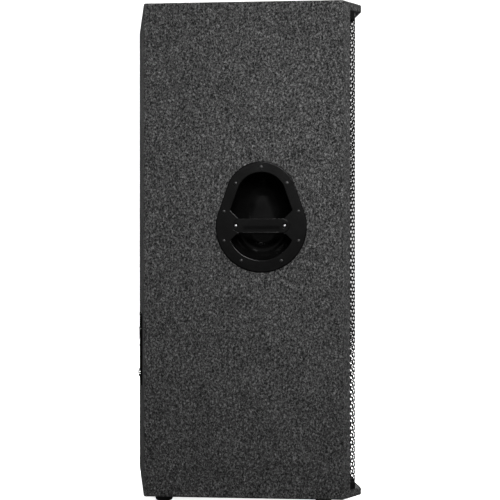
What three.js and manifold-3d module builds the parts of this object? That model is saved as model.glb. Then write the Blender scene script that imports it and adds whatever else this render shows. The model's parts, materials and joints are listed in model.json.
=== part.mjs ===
// Upright full-range loudspeaker cabinet: two woofers and a horn behind a perforated steel grille, in a
// carpet-covered plywood box whose plan narrows towards the rear.
//
// Units are millimetres. +Z is up, -Y is the front, and the origin is on the floor under the middle of
// the bounding box. "Left" is -X, which is the left of someone facing the front of the cabinet.

import * as THREE from 'three';
import { ConvexGeometry } from 'three/addons/geometries/ConvexGeometry.js';
import { RoundedBoxGeometry } from 'three/addons/geometries/RoundedBoxGeometry.js';
import { mergeVertices } from 'three/addons/utils/BufferGeometryUtils.js';
import Module from 'manifold-3d';

const wasm = await Module();
wasm.setup();

// ---------------------------------------------------------------- driving dimensions

const FOOT_HEIGHT = 15;
const CABINET_HEIGHT = 1120;

// Plan of the carpeted cabinet: narrow rear, wide shoulder, then a bevel to the front of the lips.
const REAR_Y = 243;
const SHOULDER_Y = -197;
const LIP_FRONT_Y = -250;
const REAR_HALF_WIDTH = 155;
const SHOULDER_HALF_WIDTH = 250;
const LIP_HALF_WIDTH = 208;
const CARPET_EDGE_RADIUS = 4;
const CARPET_CORNER_RADIUS = 5;

const CARPET = 2;
const GLUE = 0.25;
const BOARD = 15;
const SIDE_BOARD = 18;
const BAFFLE_BOARD = 18;
const JOINT_GAP = 0.3;

const SIDE_BOARD_FRONT_Y = -213;
const CARPET_SIDE_FRONT_Y = -218;
const GRILLE_FRONT_Y = -232.7;
const GRILLE_SIDE_Y = -218.3;
const GRILLE_FLANGE_END_Y = -202;
const GRILLE_SHEET = 1.2;
const BAFFLE_FRONT_Y = -187;

const WOOFER_HEIGHTS = { lower: 250, upper: 650 };
const WOOFER_CUTOUT_RADIUS = 177;
const HORN_HEIGHT = 975;
const PORT_X = 168;
const PORT_HEIGHT = 905;
const PORT_CUTOUT_RADIUS = 33;
const BRACE_HEIGHT = 450;

// The handle's reference point is the centre of its round lower end.
const HANDLE_FROM_REAR_EDGE = 267;
const HANDLE_HEIGHT = 626.7;
const HANDLE_LOW_RADIUS = 101.3;
const HANDLE_TOP_RADIUS = 79.6;
const HANDLE_TOP_CENTRE = 67.9;
const HANDLE_SIDE_ANGLE = THREE.MathUtils.degToRad(19.6);

const PLATE_WIDTH = 130;
const PLATE_HEIGHT = 170;
const PLATE_CENTRE_Z = 340;
const PLATE_THICKNESS = 2.25;
const JACK_X = 20;
const JACK_Z = 280;
const TWIST_LOCK_X = 27;
const TWIST_LOCK_Z = 372;

const CROSSOVER_Z = 560;

const ROUND_SEGMENTS = 20;
const SMALL_SEGMENTS = 12;
const LARGE_SEGMENTS = 24;

// ---------------------------------------------------------------- derived levels

const CABINET_BOTTOM = FOOT_HEIGHT;
const CABINET_TOP = FOOT_HEIGHT + CABINET_HEIGHT;
const BOARD_INSET = CARPET + GLUE;
const INNER_BOTTOM = CABINET_BOTTOM + BOARD_INSET + BOARD;
const INNER_TOP = CABINET_TOP - BOARD_INSET - BOARD;
const LIP_LINING = GLUE + CARPET;
const REAR_BOARD_INSIDE_Y = REAR_Y - BOARD_INSET - BOARD;
const BAFFLE_BACK_Y = BAFFLE_FRONT_Y + BAFFLE_BOARD;
const WIDE = 2 * SHOULDER_HALF_WIDTH;

// ---------------------------------------------------------------- finishes

const finish = (color, roughness, metalness) => new THREE.MeshStandardMaterial({ color, roughness, metalness });
const FINISHES = {
  carpet: () => finish(0x3c3c3e, 0.95, 0),
  wood: () => finish(0x9c7b52, 0.7, 0),
  blackPaint: () => finish(0x17171a, 0.6, 0),
  blackSteel: () => finish(0x121214, 0.45, 0.6),
  castFrame: () => finish(0x1b1c1e, 0.5, 0.5),
  paper: () => finish(0x1e1c1b, 0.85, 0),
  treatedCloth: () => finish(0x141313, 0.8, 0),
  spiderCloth: () => finish(0x9a6a34, 0.85, 0),
  aluminium: () => finish(0xb9bcc0, 0.35, 0.9),
  ferrite: () => finish(0x2b2b2d, 0.6, 0.1),
  plateSteel: () => finish(0xa9adb0, 0.4, 0.9),
  blackPlastic: () => finish(0x0e0e10, 0.5, 0),
  circuitBoard: () => finish(0x1f4d2e, 0.5, 0),
  copper: () => finish(0xb5703c, 0.35, 0.9),
  capacitorSleeve: () => finish(0x8c2f22, 0.35, 0),
  rubber: () => finish(0x151515, 0.85, 0),
  wadding: () => finish(0xc9c6bd, 0.95, 0),
};

// ---------------------------------------------------------------- solids from three.js geometry

/** A closed three.js geometry as a solid that can be joined and cut. */
function solid(geometry) {
  const bare = geometry.clone();
  for (const attribute of Object.keys(bare.attributes)) {
    if (attribute !== 'position') bare.deleteAttribute(attribute);
  }
  const welded = mergeVertices(bare, 1e-4);
  const corners = welded.index.array;
  const triVerts = [];
  for (let i = 0; i < corners.length; i += 3) {
    const [a, b, c] = [corners[i], corners[i + 1], corners[i + 2]];
    if (a !== b && b !== c && c !== a) triVerts.push(a, b, c);
  }
  return new wasm.Manifold(new wasm.Mesh({
    numProp: 3,
    vertProperties: new Float32Array(welded.attributes.position.array),
    triVerts: new Uint32Array(triVerts),
  }));
}

/** A named mesh of one solid. */
function part(name, body, material) {
  const { vertProperties, triVerts } = body.getMesh();
  const geometry = new THREE.BufferGeometry();
  geometry.setAttribute('position', new THREE.BufferAttribute(new Float32Array(vertProperties), 3));
  geometry.setIndex(new THREE.BufferAttribute(new Uint32Array(triVerts), 1));
  geometry.computeVertexNormals();
  const mesh = new THREE.Mesh(geometry, material());
  mesh.name = name;
  return mesh;
}

function box(low, high) {
  const [width, depth, height] = high.map((value, axis) => value - low[axis]);
  const centre = high.map((value, axis) => (value + low[axis]) / 2);
  return solid(new THREE.BoxGeometry(width, depth, height).translate(...centre));
}

/** A solid box with rounded edges. */
function roundedBox(low, high, radius) {
  const [width, depth, height] = high.map((value, axis) => value - low[axis]);
  const centre = high.map((value, axis) => (value + low[axis]) / 2);
  return solid(new RoundedBoxGeometry(width, depth, height, 1, radius).translate(...centre));
}

/** An upright prism from a plan outline, given as a shape or as [x, y] corners. */
function prism(outline, bottom, top, curveSegments = 6) {
  const shape = outline instanceof THREE.Shape ? outline : polygon(outline);
  const depth = top - bottom;
  const geometry = new THREE.ExtrudeGeometry(shape, { depth, bevelEnabled: false, curveSegments });
  return solid(geometry.translate(0, 0, bottom));
}

function polygon(corners) {
  return new THREE.Shape(corners.map(([x, y]) => new THREE.Vector2(x, y)));
}

/** A turned solid about the Y axis. A profile of [radius, y] points meets the axis or closes on itself. */
function turned(profile, segments = ROUND_SEGMENTS) {
  const points = profile.map(([radius, y]) => new THREE.Vector2(radius, y));
  const meetsAxis = points[0].x === 0 && points.at(-1).x === 0;
  if (THREE.ShapeUtils.area(points) < 0) points.reverse();
  if (!meetsAxis) points.push(points[0].clone());
  return solid(new THREE.LatheGeometry(points, segments));
}

/** A turned ring of rectangular section. */
function ring(innerRadius, outerRadius, low, high, segments = ROUND_SEGMENTS) {
  return turned([[innerRadius, low], [outerRadius, low], [outerRadius, high], [innerRadius, high]], segments);
}

/** A solid cylinder along Y. */
function rod(radius, low, high, segments = ROUND_SEGMENTS) {
  return turned([[0, low], [radius, low], [radius, high], [0, high]], segments);
}

/** Points of an arc in a turning profile. */
function arc(centreRadius, centreY, radius, from, to, steps) {
  return Array.from({ length: steps + 1 }, (_, i) => {
    const angle = from + (to - from) * i / steps;
    return [centreRadius + radius * Math.cos(angle), centreY + radius * Math.sin(angle)];
  });
}

// ---------------------------------------------------------------- plan of the cabinet

/** Corners of the carpeted plan, anticlockwise seen from above. */
const PLAN = [
  [-LIP_HALF_WIDTH, LIP_FRONT_Y],
  [LIP_HALF_WIDTH, LIP_FRONT_Y],
  [SHOULDER_HALF_WIDTH, SHOULDER_Y],
  [REAR_HALF_WIDTH, REAR_Y],
  [-REAR_HALF_WIDTH, REAR_Y],
  [-SHOULDER_HALF_WIDTH, SHOULDER_Y],
].map(([x, y]) => new THREE.Vector2(x, y));

const TAPER = Math.atan2(SHOULDER_HALF_WIDTH - REAR_HALF_WIDTH, REAR_Y - SHOULDER_Y);
const BEVEL = Math.atan2(SHOULDER_HALF_WIDTH - LIP_HALF_WIDTH, SHOULDER_Y - LIP_FRONT_Y);

/** Half the cabinet's width at y on its tapered side, a distance inside the carpet's face. */
function sideAt(y, inset = 0) {
  return REAR_HALF_WIDTH + (REAR_Y - y) * Math.tan(TAPER) - inset / Math.cos(TAPER);
}

/** The same on the bevel at the front corners. */
function bevelAt(y, inset = 0) {
  return SHOULDER_HALF_WIDTH - (SHOULDER_Y - y) * Math.tan(BEVEL) - inset / Math.cos(BEVEL);
}

function outwardNormal(from, to) {
  return new THREE.Vector2(to.y - from.y, from.x - to.x).normalize();
}

/** The corners of a convex outline, moved in from its edges. */
function insetCorners(corners, distance) {
  return corners.map((corner, i) => {
    const first = outwardNormal(corners.at(i - 1), corner);
    const second = outwardNormal(corner, corners[(i + 1) % corners.length]);
    const diagonal = first.clone().add(second).normalize();
    return corner.clone().addScaledVector(diagonal, -distance / diagonal.dot(first));
  });
}

/** A convex outline with its corners rounded. */
function roundedCorners(corners, radius) {
  const shape = new THREE.Shape();
  insetCorners(corners, radius).forEach((centre, i) => {
    const first = outwardNormal(corners.at(i - 1), corners[i]);
    const second = outwardNormal(corners[i], corners[(i + 1) % corners.length]);
    shape.absarc(centre.x, centre.y, radius, first.angle(), second.angle(), false);
  });
  shape.closePath();
  return shape;
}

/** A prism of the cabinet's plan, inset from the carpet's face. */
function planPrism(inset, bottom, top) {
  return prism(new THREE.Shape(insetCorners(PLAN, inset)), bottom, top);
}

/** Everything in front of a y value, between two levels. */
function inFrontOf(y, bottom, top) {
  return box([-WIDE, -WIDE, bottom], [WIDE, y, top]);
}

/** The same corners on the other side of the cabinet. */
function mirrored(corners) {
  return corners.map(([x, y]) => [-x, y]);
}

// ---------------------------------------------------------------- handle frame and outline

/**
 * Places a handle on its side panel. In the handle's own frame x runs along the side, y is up and
 * z points straight out of the side's carpeted face.
 */
function handleFrame(side) {
  const along = new THREE.Vector2(SHOULDER_HALF_WIDTH - REAR_HALF_WIDTH, SHOULDER_Y - REAR_Y).normalize();
  const turn = side * (Math.PI / 2 + TAPER);
  const matrix = new THREE.Matrix4().makeRotationFromEuler(new THREE.Euler(Math.PI / 2, 0, turn, 'ZYX'));
  matrix.setPosition(
    side * (REAR_HALF_WIDTH + along.x * HANDLE_FROM_REAR_EDGE),
    REAR_Y + along.y * HANDLE_FROM_REAR_EDGE,
    HANDLE_HEIGHT,
  );
  return matrix;
}

/** The handle's pear outline, a distance inside its flange: a wide low arc, two straights, a top arc. */
function pear(inset) {
  const lowRadius = HANDLE_LOW_RADIUS - inset;
  const topRadius = HANDLE_TOP_RADIUS - inset;
  const reach = (lowRadius - HANDLE_TOP_CENTRE * Math.sin(HANDLE_SIDE_ANGLE)) / topRadius;
  const topAngle = HANDLE_SIDE_ANGLE + Math.acos(reach);
  const shape = new THREE.Shape();
  shape.absarc(0, 0, lowRadius, Math.PI - HANDLE_SIDE_ANGLE, 2 * Math.PI + HANDLE_SIDE_ANGLE, false);
  shape.absarc(0, HANDLE_TOP_CENTRE, topRadius, topAngle, Math.PI - topAngle, false);
  shape.closePath();
  return shape;
}

const HANDLE_SEGMENTS = 8;
const HANDLE_CUT_INSET = 19.5;

/** The hole through a side panel and its carpet for the handle's cup. */
function handleHole(side) {
  const [inside, outside] = [-50, 10];
  const geometry = new THREE.ExtrudeGeometry(pear(HANDLE_CUT_INSET), {
    depth: outside - inside, bevelEnabled: false, curveSegments: HANDLE_SEGMENTS,
  });
  return solid(geometry.translate(0, 0, inside).applyMatrix4(handleFrame(side)));
}

// ---------------------------------------------------------------- carpet and woodwork

const REAR_OPENING = { halfWidth: PLATE_WIDTH / 2 - 14, halfHeight: PLATE_HEIGHT / 2 - 14 };

function rearOpening(fromY) {
  const { halfWidth, halfHeight } = REAR_OPENING;
  return box(
    [-halfWidth, fromY, PLATE_CENTRE_Z - halfHeight],
    [halfWidth, REAR_Y + BOARD, PLATE_CENTRE_Z + halfHeight],
  );
}

/** The carpeted outline between two levels, with every outside edge rounded. */
function roundedPlan(bottom, top) {
  const radius = CARPET_EDGE_RADIUS;
  return solid(new THREE.ExtrudeGeometry(roundedCorners(PLAN, CARPET_CORNER_RADIUS), {
    depth: top - bottom - 2 * radius,
    bevelThickness: radius,
    bevelSize: radius,
    bevelOffset: -radius,
    bevelSegments: 2,
    curveSegments: 3,
  }).translate(0, 0, bottom + radius));
}

/** Carpet over the sides, top, bottom and rear, wrapped round both lips and lining their inside faces. */
function carpetCover() {
  const woodBottom = CABINET_BOTTOM + CARPET;
  const woodTop = CABINET_TOP - CARPET;
  const lowLip = INNER_BOTTOM + GLUE;
  const highLip = INNER_TOP - GLUE;
  const mouth = [lowLip + CARPET, highLip - CARPET];

  const behindSideEdges = roundedPlan(CABINET_BOTTOM, CABINET_TOP)
    .subtract(inFrontOf(CARPET_SIDE_FRONT_Y, 0, 2 * CABINET_TOP));
  const lips = roundedPlan(CABINET_BOTTOM, mouth[0]).add(roundedPlan(mouth[1], CABINET_TOP));
  const woodwork = planPrism(CARPET, woodBottom, woodTop)
    .subtract(inFrontOf(SIDE_BOARD_FRONT_Y - GLUE, 0, 2 * CABINET_TOP));
  const lipBoards = planPrism(CARPET, woodBottom, lowLip).add(planPrism(CARPET, highLip, woodTop));
  const betweenSides = prism(betweenSidePanels(LIP_FRONT_Y, BAFFLE_FRONT_Y, 0), ...mouth);

  return behindSideEdges.add(lips)
    .subtract(woodwork)
    .subtract(lipBoards)
    .subtract(betweenSides)
    .subtract(rearOpening(REAR_BOARD_INSIDE_Y))
    .subtract(handleHole(-1))
    .subtract(handleHole(1));
}

function sidePanel(side) {
  const inside = BOARD_INSET + SIDE_BOARD;
  const [, , shoulder] = insetCorners(PLAN, BOARD_INSET);
  const plan = [
    [sideAt(REAR_BOARD_INSIDE_Y, inside), REAR_BOARD_INSIDE_Y],
    [sideAt(SIDE_BOARD_FRONT_Y, inside), SIDE_BOARD_FRONT_Y],
    [bevelAt(SIDE_BOARD_FRONT_Y, BOARD_INSET), SIDE_BOARD_FRONT_Y],
    [shoulder.x, shoulder.y],
    [sideAt(REAR_BOARD_INSIDE_Y, BOARD_INSET), REAR_BOARD_INSIDE_Y],
  ];
  return prism(side > 0 ? plan : mirrored(plan), INNER_BOTTOM, INNER_TOP).subtract(handleHole(side));
}

function rearPanel() {
  const outsideY = REAR_Y - BOARD_INSET;
  const plan = [
    [sideAt(REAR_BOARD_INSIDE_Y, BOARD_INSET), REAR_BOARD_INSIDE_Y],
    [sideAt(outsideY, BOARD_INSET), outsideY],
  ];
  return prism([...plan, ...mirrored(plan).reverse()], INNER_BOTTOM, INNER_TOP)
    .subtract(rearOpening(0));
}

/** A level board's plan between the side panels, from the rear panel to a y value. */
function betweenSidePanels(frontY, rearY, clearance) {
  const inset = BOARD_INSET + SIDE_BOARD + clearance;
  const corners = [[sideAt(frontY, inset), frontY], [sideAt(rearY, inset), rearY]];
  return [...corners, ...mirrored(corners).reverse()];
}

/** A hole through the baffle, as a cylinder along Y. */
function baffleHole(radius, x, z) {
  return rod(radius, BAFFLE_FRONT_Y - BOARD, BAFFLE_BACK_Y + BOARD, LARGE_SEGMENTS).translate(x, 0, z);
}

const HORN_MOUTH = { halfWidth: 110, halfHeight: 90 };
const HORN_WALL = 4;

function frontBaffle() {
  const plan = betweenSidePanels(BAFFLE_FRONT_Y, BAFFLE_BACK_Y, JOINT_GAP);
  const [clearance, corner, overrun] = [HORN_WALL + 2, 12, 50];
  const halfWidth = HORN_MOUTH.halfWidth + clearance;
  const halfHeight = HORN_MOUTH.halfHeight + clearance;
  const hornHole = roundedBox(
    [-halfWidth, BAFFLE_FRONT_Y - overrun, HORN_HEIGHT - halfHeight],
    [halfWidth, BAFFLE_BACK_Y + overrun, HORN_HEIGHT + halfHeight],
    corner,
  );
  return prism(plan, INNER_BOTTOM, INNER_TOP)
    .subtract(baffleHole(WOOFER_CUTOUT_RADIUS, 0, WOOFER_HEIGHTS.lower))
    .subtract(baffleHole(WOOFER_CUTOUT_RADIUS, 0, WOOFER_HEIGHTS.upper))
    .subtract(baffleHole(PORT_CUTOUT_RADIUS, -PORT_X, PORT_HEIGHT))
    .subtract(baffleHole(PORT_CUTOUT_RADIUS, PORT_X, PORT_HEIGHT))
    .subtract(hornHole);
}

/** A level frame halfway up, tying the sides, rear and baffle together round an open middle. */
function crossBrace() {
  const rail = 50;
  const outline = polygon(betweenSidePanels(BAFFLE_BACK_Y, REAR_BOARD_INSIDE_Y, JOINT_GAP));
  const window = betweenSidePanels(BAFFLE_BACK_Y + rail, REAR_BOARD_INSIDE_Y - rail, rail);
  outline.holes.push(new THREE.Path(window.map(([x, y]) => new THREE.Vector2(x, y))));
  return prism(outline, BRACE_HEIGHT - BOARD / 2, BRACE_HEIGHT + BOARD / 2);
}

const BATTEN_HALF_LENGTH = 212;
const BATTEN_HEIGHT = 20;

/** A strip of wood in front of the baffle, next to a lip, that the grille is screwed to. */
function grilleBatten(bottom) {
  return box(
    [-BATTEN_HALF_LENGTH, GRILLE_FRONT_Y + GRILLE_SHEET + JOINT_GAP, bottom],
    [BATTEN_HALF_LENGTH, BAFFLE_FRONT_Y, bottom + BATTEN_HEIGHT],
  );
}

function cabinetParts() {
  const lowBatten = INNER_BOTTOM + LIP_LINING + GLUE;
  const highBatten = INNER_TOP - LIP_LINING - GLUE - BATTEN_HEIGHT;
  return [
    part('carpet_cover', carpetCover(), FINISHES.carpet),
    part('side_panel_left', sidePanel(-1), FINISHES.wood),
    part('side_panel_right', sidePanel(1), FINISHES.wood),
    part('bottom_panel', planPrism(BOARD_INSET, INNER_BOTTOM - BOARD, INNER_BOTTOM), FINISHES.wood),
    part('top_panel', planPrism(BOARD_INSET, INNER_TOP, INNER_TOP + BOARD), FINISHES.wood),
    part('rear_panel', rearPanel(), FINISHES.wood),
    part('front_baffle', frontBaffle(), FINISHES.blackPaint),
    part('cross_brace', crossBrace(), FINISHES.wood),
    part('grille_batten_bottom', grilleBatten(lowBatten), FINISHES.blackPaint),
    part('grille_batten_top', grilleBatten(highBatten), FINISHES.blackPaint),
  ];
}

// ---------------------------------------------------------------- grille

/** One bent steel sheet: a flat front, two returns in line with the bevels, and two hidden flanges. */
function grille() {
  const flangeGap = 0.75;
  const half = [
    [sideAt(GRILLE_FLANGE_END_Y, BOARD_INSET + SIDE_BOARD + flangeGap), GRILLE_FLANGE_END_Y],
    [bevelAt(GRILLE_SIDE_Y), GRILLE_SIDE_Y],
    [bevelAt(GRILLE_FRONT_Y), GRILLE_FRONT_Y],
  ];
  const path = [...half, ...mirrored(half).reverse()].map(([x, y]) => new THREE.Vector2(x, y));
  const innerPath = path.map((point, i) => {
    const normals = [];
    if (i > 0) normals.push(outwardNormal(point, path[i - 1]));
    if (i < path.length - 1) normals.push(outwardNormal(path[i + 1], point));
    const diagonal = normals[0].clone().add(normals.at(-1)).normalize();
    return point.clone().addScaledVector(diagonal, -GRILLE_SHEET / diagonal.dot(normals[0]));
  });
  const lining = LIP_LINING + JOINT_GAP;
  return prism(new THREE.Shape([...path, ...innerPath.reverse()]), INNER_BOTTOM + lining, INNER_TOP - lining);
}

// ---------------------------------------------------------------- woofer

// Profiles are [radius, distance forward of the baffle's face].
const FRAME_WINDOWS = 6;

function wooferFrame() {
  const basket = turned([
    [170, 6.5], [170, -10], [104, -90], [104, -92], [86, -92], [86, -110], [52, -110],
    [52, -115], [90, -115], [90, -97], [110, -92], [174, -12], [174, JOINT_GAP], [194, JOINT_GAP],
    [194, 9.5], [185, 9.5], [185, 6.5],
  ], LARGE_SEGMENTS);
  const [windowFront, windowDepth] = [-22, 54];
  const window = solid(new THREE.ExtrudeGeometry(
    polygon([[100, -36], [180, -66], [180, 66], [100, 36]]),
    { depth: windowDepth, bevelEnabled: false },
  ).rotateX(Math.PI / 2).translate(0, windowFront, 0));
  let frame = basket;
  for (let i = 0; i < FRAME_WINDOWS; i += 1) {
    frame = frame.subtract(window.rotate(0, 360 * i / FRAME_WINDOWS, 0));
  }
  return frame;
}

function wooferCone() {
  return turned([[38.5, -60], [95, -28], [150, 6.5], [150, 4.7], [95, -29.8], [38.5, -61.8]]);
}

/** A dome with an open back. */
function dustCap() {
  const [rim, rise, skin, rimY] = [52, 16, 1, -52.2];
  const radius = (rim * rim + rise * rise) / (2 * rise);
  const centre = rimY + rise - radius;
  const edge = Math.asin((rimY - centre) / radius);
  const innerEdge = Math.asin((rimY - centre) / (radius - skin));
  const outer = arc(0, centre, radius, edge, Math.PI / 2, 4);
  const inner = arc(0, centre, radius - skin, innerEdge, Math.PI / 2, 4);
  outer.at(-1)[0] = 0;
  inner.at(-1)[0] = 0;
  return turned([...inner.reverse(), ...outer]);
}

/** A half-round roll between the cone's edge and the frame, with a flat glue tab on each side. */
function surround() {
  const [inner, outer, base, skin] = [150, 168, 6.8, 1];
  const middle = (inner + outer) / 2;
  const roll = (outer - inner) / 2;
  const [tabInner, tabOuter] = [143, 182];
  return turned([
    [tabInner, base],
    ...arc(middle, base, roll - skin, Math.PI, 0, 3),
    [tabOuter, base], [tabOuter, base + skin],
    ...arc(middle, base + skin, roll, 0, Math.PI, 3),
    [tabInner, base + skin],
  ]);
}

/** A corrugated cloth disc that centres the voice coil. */
function spider() {
  const [ledge, skin, wave, folds] = [-91.7, 1, 2.5, 5];
  const [inner, firstFold, lastFold, outer] = [38.7, 48, 79, 100];
  const flat = 4;
  const top = [[inner, ledge + skin], [firstFold - flat, ledge + skin]];
  for (let i = 0; i < folds; i += 1) {
    const radius = firstFold + (lastFold - firstFold) * i / (folds - 1);
    top.push([radius, ledge + skin + (i % 2 ? wave : -wave)]);
  }
  top.push([lastFold + flat, ledge + skin], [outer, ledge + skin]);
  const bottom = top.map(([radius, y]) => [radius, y - skin]).reverse();
  return turned([...top, ...bottom]);
}

/** A thin former that joins the cone to the winding in the magnet's gap. */
function voiceCoil() {
  return turned([[37.2, -58], [38.2, -58], [38.2, -112], [39, -112], [39, -128], [37.2, -128]]);
}

/** The rear plate with its vented pole piece. */
function wooferBackPlate() {
  return turned([[12, -156], [75, -156], [75, -146], [36.4, -146], [36.4, -115.3], [12, -115.3]]);
}

function woofer(place) {
  const group = facingFront(0, WOOFER_HEIGHTS[place]);
  group.add(
    part(`woofer_frame_${place}`, wooferFrame(), FINISHES.castFrame),
    part(`woofer_cone_${place}`, wooferCone(), FINISHES.paper),
    part(`dust_cap_${place}`, dustCap(), FINISHES.paper),
    part(`surround_${place}`, surround(), FINISHES.treatedCloth),
    part(`spider_${place}`, spider(), FINISHES.spiderCloth),
    part(`voice_coil_${place}`, voiceCoil(), FINISHES.aluminium),
    part(`woofer_top_plate_${place}`, ring(39.8, 75, -123.3, -115.3), FINISHES.plateSteel),
    part(`woofer_magnet_${place}`, ring(48, 85, -145.6, -123.6), FINISHES.ferrite),
    part(`woofer_back_plate_${place}`, wooferBackPlate(), FINISHES.plateSteel),
  );
  return group;
}

/** A group whose +Y points forward, at the baffle's face. */
function facingFront(x, z) {
  const group = new THREE.Group();
  group.position.set(x, BAFFLE_FRONT_Y, z);
  group.rotation.z = Math.PI;
  return group;
}

// ---------------------------------------------------------------- horn and compression driver

const HORN_LENGTH = 130;
const THROAT_RADIUS = 12.7;

/** A flare from a round throat to a mouth that is nearly a rectangle, grown outwards by a margin. */
function flare(margin, from, to) {
  const steps = 4;
  const geometry = new THREE.CylinderGeometry(1, 1, to - from, LARGE_SEGMENTS, steps);
  geometry.translate(0, (from + to) / 2, 0);
  const position = geometry.attributes.position;
  for (let i = 0; i < position.count; i += 1) {
    const y = position.getY(i);
    const opening = Math.min(1, Math.max(0, (y + HORN_LENGTH) / HORN_LENGTH));
    const halfWidth = THROAT_RADIUS + (HORN_MOUTH.halfWidth - THROAT_RADIUS) * opening ** 1.5 + margin;
    const halfHeight = THROAT_RADIUS + (HORN_MOUTH.halfHeight - THROAT_RADIUS) * opening ** 1.2 + margin;
    const squareness = 2 + 6 * opening;
    const [x, z] = [position.getX(i), position.getZ(i)];
    const reach = Math.hypot(x, z);
    if (reach < 1e-6) continue;
    const term = Math.abs(x / reach / halfWidth) ** squareness + Math.abs(z / reach / halfHeight) ** squareness;
    const scale = term ** (-1 / squareness);
    position.setXYZ(i, x * scale, y, z * scale);
  }
  return solid(geometry);
}

function hornFlare() {
  const plate = roundedBox([-130, JOINT_GAP, -108], [130, 5 + JOINT_GAP, 108], 2);
  const throatFlange = rod(47, -HORN_LENGTH, -HORN_LENGTH + 6);
  const inside = flare(0, -HORN_LENGTH - 1, 8);
  return flare(HORN_WALL, -HORN_LENGTH, 3).add(plate).add(throatFlange).subtract(inside);
}

/** The driver's front plate and pole, with the widening passage to the horn's throat. */
function driverPole() {
  return turned([
    [THROAT_RADIUS, -130.3], [47, -130.3], [47, -139.3], [21.5, -139.3], [21.5, -168.3], [7, -168.3],
  ]);
}

/** The dome, its voice coil and its flat rim. */
function driverDiaphragm() {
  const [rim, rise, skin, rimY] = [22.3, 11, 0.6, -169.1];
  const radius = (rim * rim + rise * rise) / (2 * rise);
  const centre = rimY - rise + radius;
  const edge = -Math.acos(rim / radius);
  const inner = arc(0, centre, radius, -Math.PI / 2, edge, 3);
  const outer = arc(0, centre - skin, radius, edge, -Math.PI / 2, 3);
  inner[0][0] = 0;
  outer.at(-1)[0] = 0;
  return turned([
    ...inner, [22.3, -163.9], [22.9, -163.9], [22.9, -168.5], [31, -168.5], [31, -169.1], [22.9, -169.1],
    ...outer,
  ], SMALL_SEGMENTS);
}

function driverCover() {
  return turned([
    [0, -196], [38, -196], [45, -190], [45, -168.2], [42, -168.2], [42, -189], [37, -193.5], [0, -193.5],
  ]);
}

function hornAndDriver() {
  const group = facingFront(0, HORN_HEIGHT);
  group.add(
    part('horn_flare', hornFlare(), FINISHES.blackPlastic),
    part('driver_pole_plate', driverPole(), FINISHES.plateSteel),
    part('driver_magnet', ring(26, 47, -161.6, -139.6), FINISHES.ferrite),
    part('driver_top_plate', ring(23.6, 45, -167.9, -161.9), FINISHES.plateSteel),
    part('driver_diaphragm', driverDiaphragm(), FINISHES.aluminium),
    part('driver_cover', driverCover(), FINISHES.blackPlastic),
  );
  return group;
}

/** A flanged tube through the baffle. */
function reflexPort(name, x) {
  const group = facingFront(x, PORT_HEIGHT);
  const tube = turned([
    [29.5, -100], [32, -100], [32, JOINT_GAP], [36, JOINT_GAP], [36, 3.3], [32, 3.3], [29.5, 1],
  ]);
  group.add(part(name, tube, FINISHES.blackPlastic));
  return group;
}

// ---------------------------------------------------------------- handles

const FLANGE_BACK = 0.3;
const FLANGE_FRONT = 3.3;
const CUP_DEPTH = 75;
const CUP_WALL_INSET = 20.5;
const CUP_OPENING_INSET = 23.6;
const BAR_CENTRE = 2.6;
const BAR_HALF_WIDTH = 15.9;
const BAR_END_CENTRE = 47;
const BAR_SCREW_X = 54;

/** A bowl with an elliptical floor under a straight rim, cut level at its mouth. */
function bowl(inset, depth, mouth) {
  const [rounding, straight, steps] = [34, 22, 3];
  const levels = [[inset, mouth]];
  for (let i = 0; i <= steps; i += 1) {
    const angle = i / steps * Math.PI / 2;
    levels.push([inset + rounding * (1 - Math.cos(angle)), -straight - (depth - straight) * Math.sin(angle)]);
  }
  const points = levels.flatMap(([ringInset, z]) => (
    pear(ringInset).getPoints(HANDLE_SEGMENTS).map(({ x, y }) => new THREE.Vector3(x, y, z))
  ));
  return solid(new ConvexGeometry(points));
}

/** The opening in the flange, pinched in the middle by two wings that carry the bar. */
function flangeOpening() {
  const opening = pear(CUP_OPENING_INSET);
  const whole = solid(new THREE.ExtrudeGeometry(opening, {
    depth: 20, bevelEnabled: false, curveSegments: HANDLE_SEGMENTS,
  }).translate(0, 0, -10));
  const wing = polygon([
    [50.4, 18.5], [68.5, 36.3], [120, 36.3], [120, -30.2], [69, -30.2], [55, -16.3], [50.4, -16.3],
  ]);
  const right = solid(new THREE.ExtrudeGeometry(wing, { depth: 30, bevelEnabled: false }).translate(0, 0, -15));
  return whole.subtract(right).subtract(right.rotate(0, 180, 0));
}

/** The bar's outline seen from the side: a flat band with round ends. */
function barOutline(clearance) {
  const radius = BAR_HALF_WIDTH + clearance;
  const shape = new THREE.Shape();
  shape.absarc(BAR_END_CENTRE, BAR_CENTRE, radius, -Math.PI / 2, Math.PI / 2, false);
  shape.absarc(-BAR_END_CENTRE, BAR_CENTRE, radius, Math.PI / 2, 3 * Math.PI / 2, false);
  shape.closePath();
  return shape;
}

function barPrism(clearance, low, high) {
  return solid(new THREE.ExtrudeGeometry(barOutline(clearance), {
    depth: high - low, bevelEnabled: false, curveSegments: 8,
  }).translate(0, 0, low));
}

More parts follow.
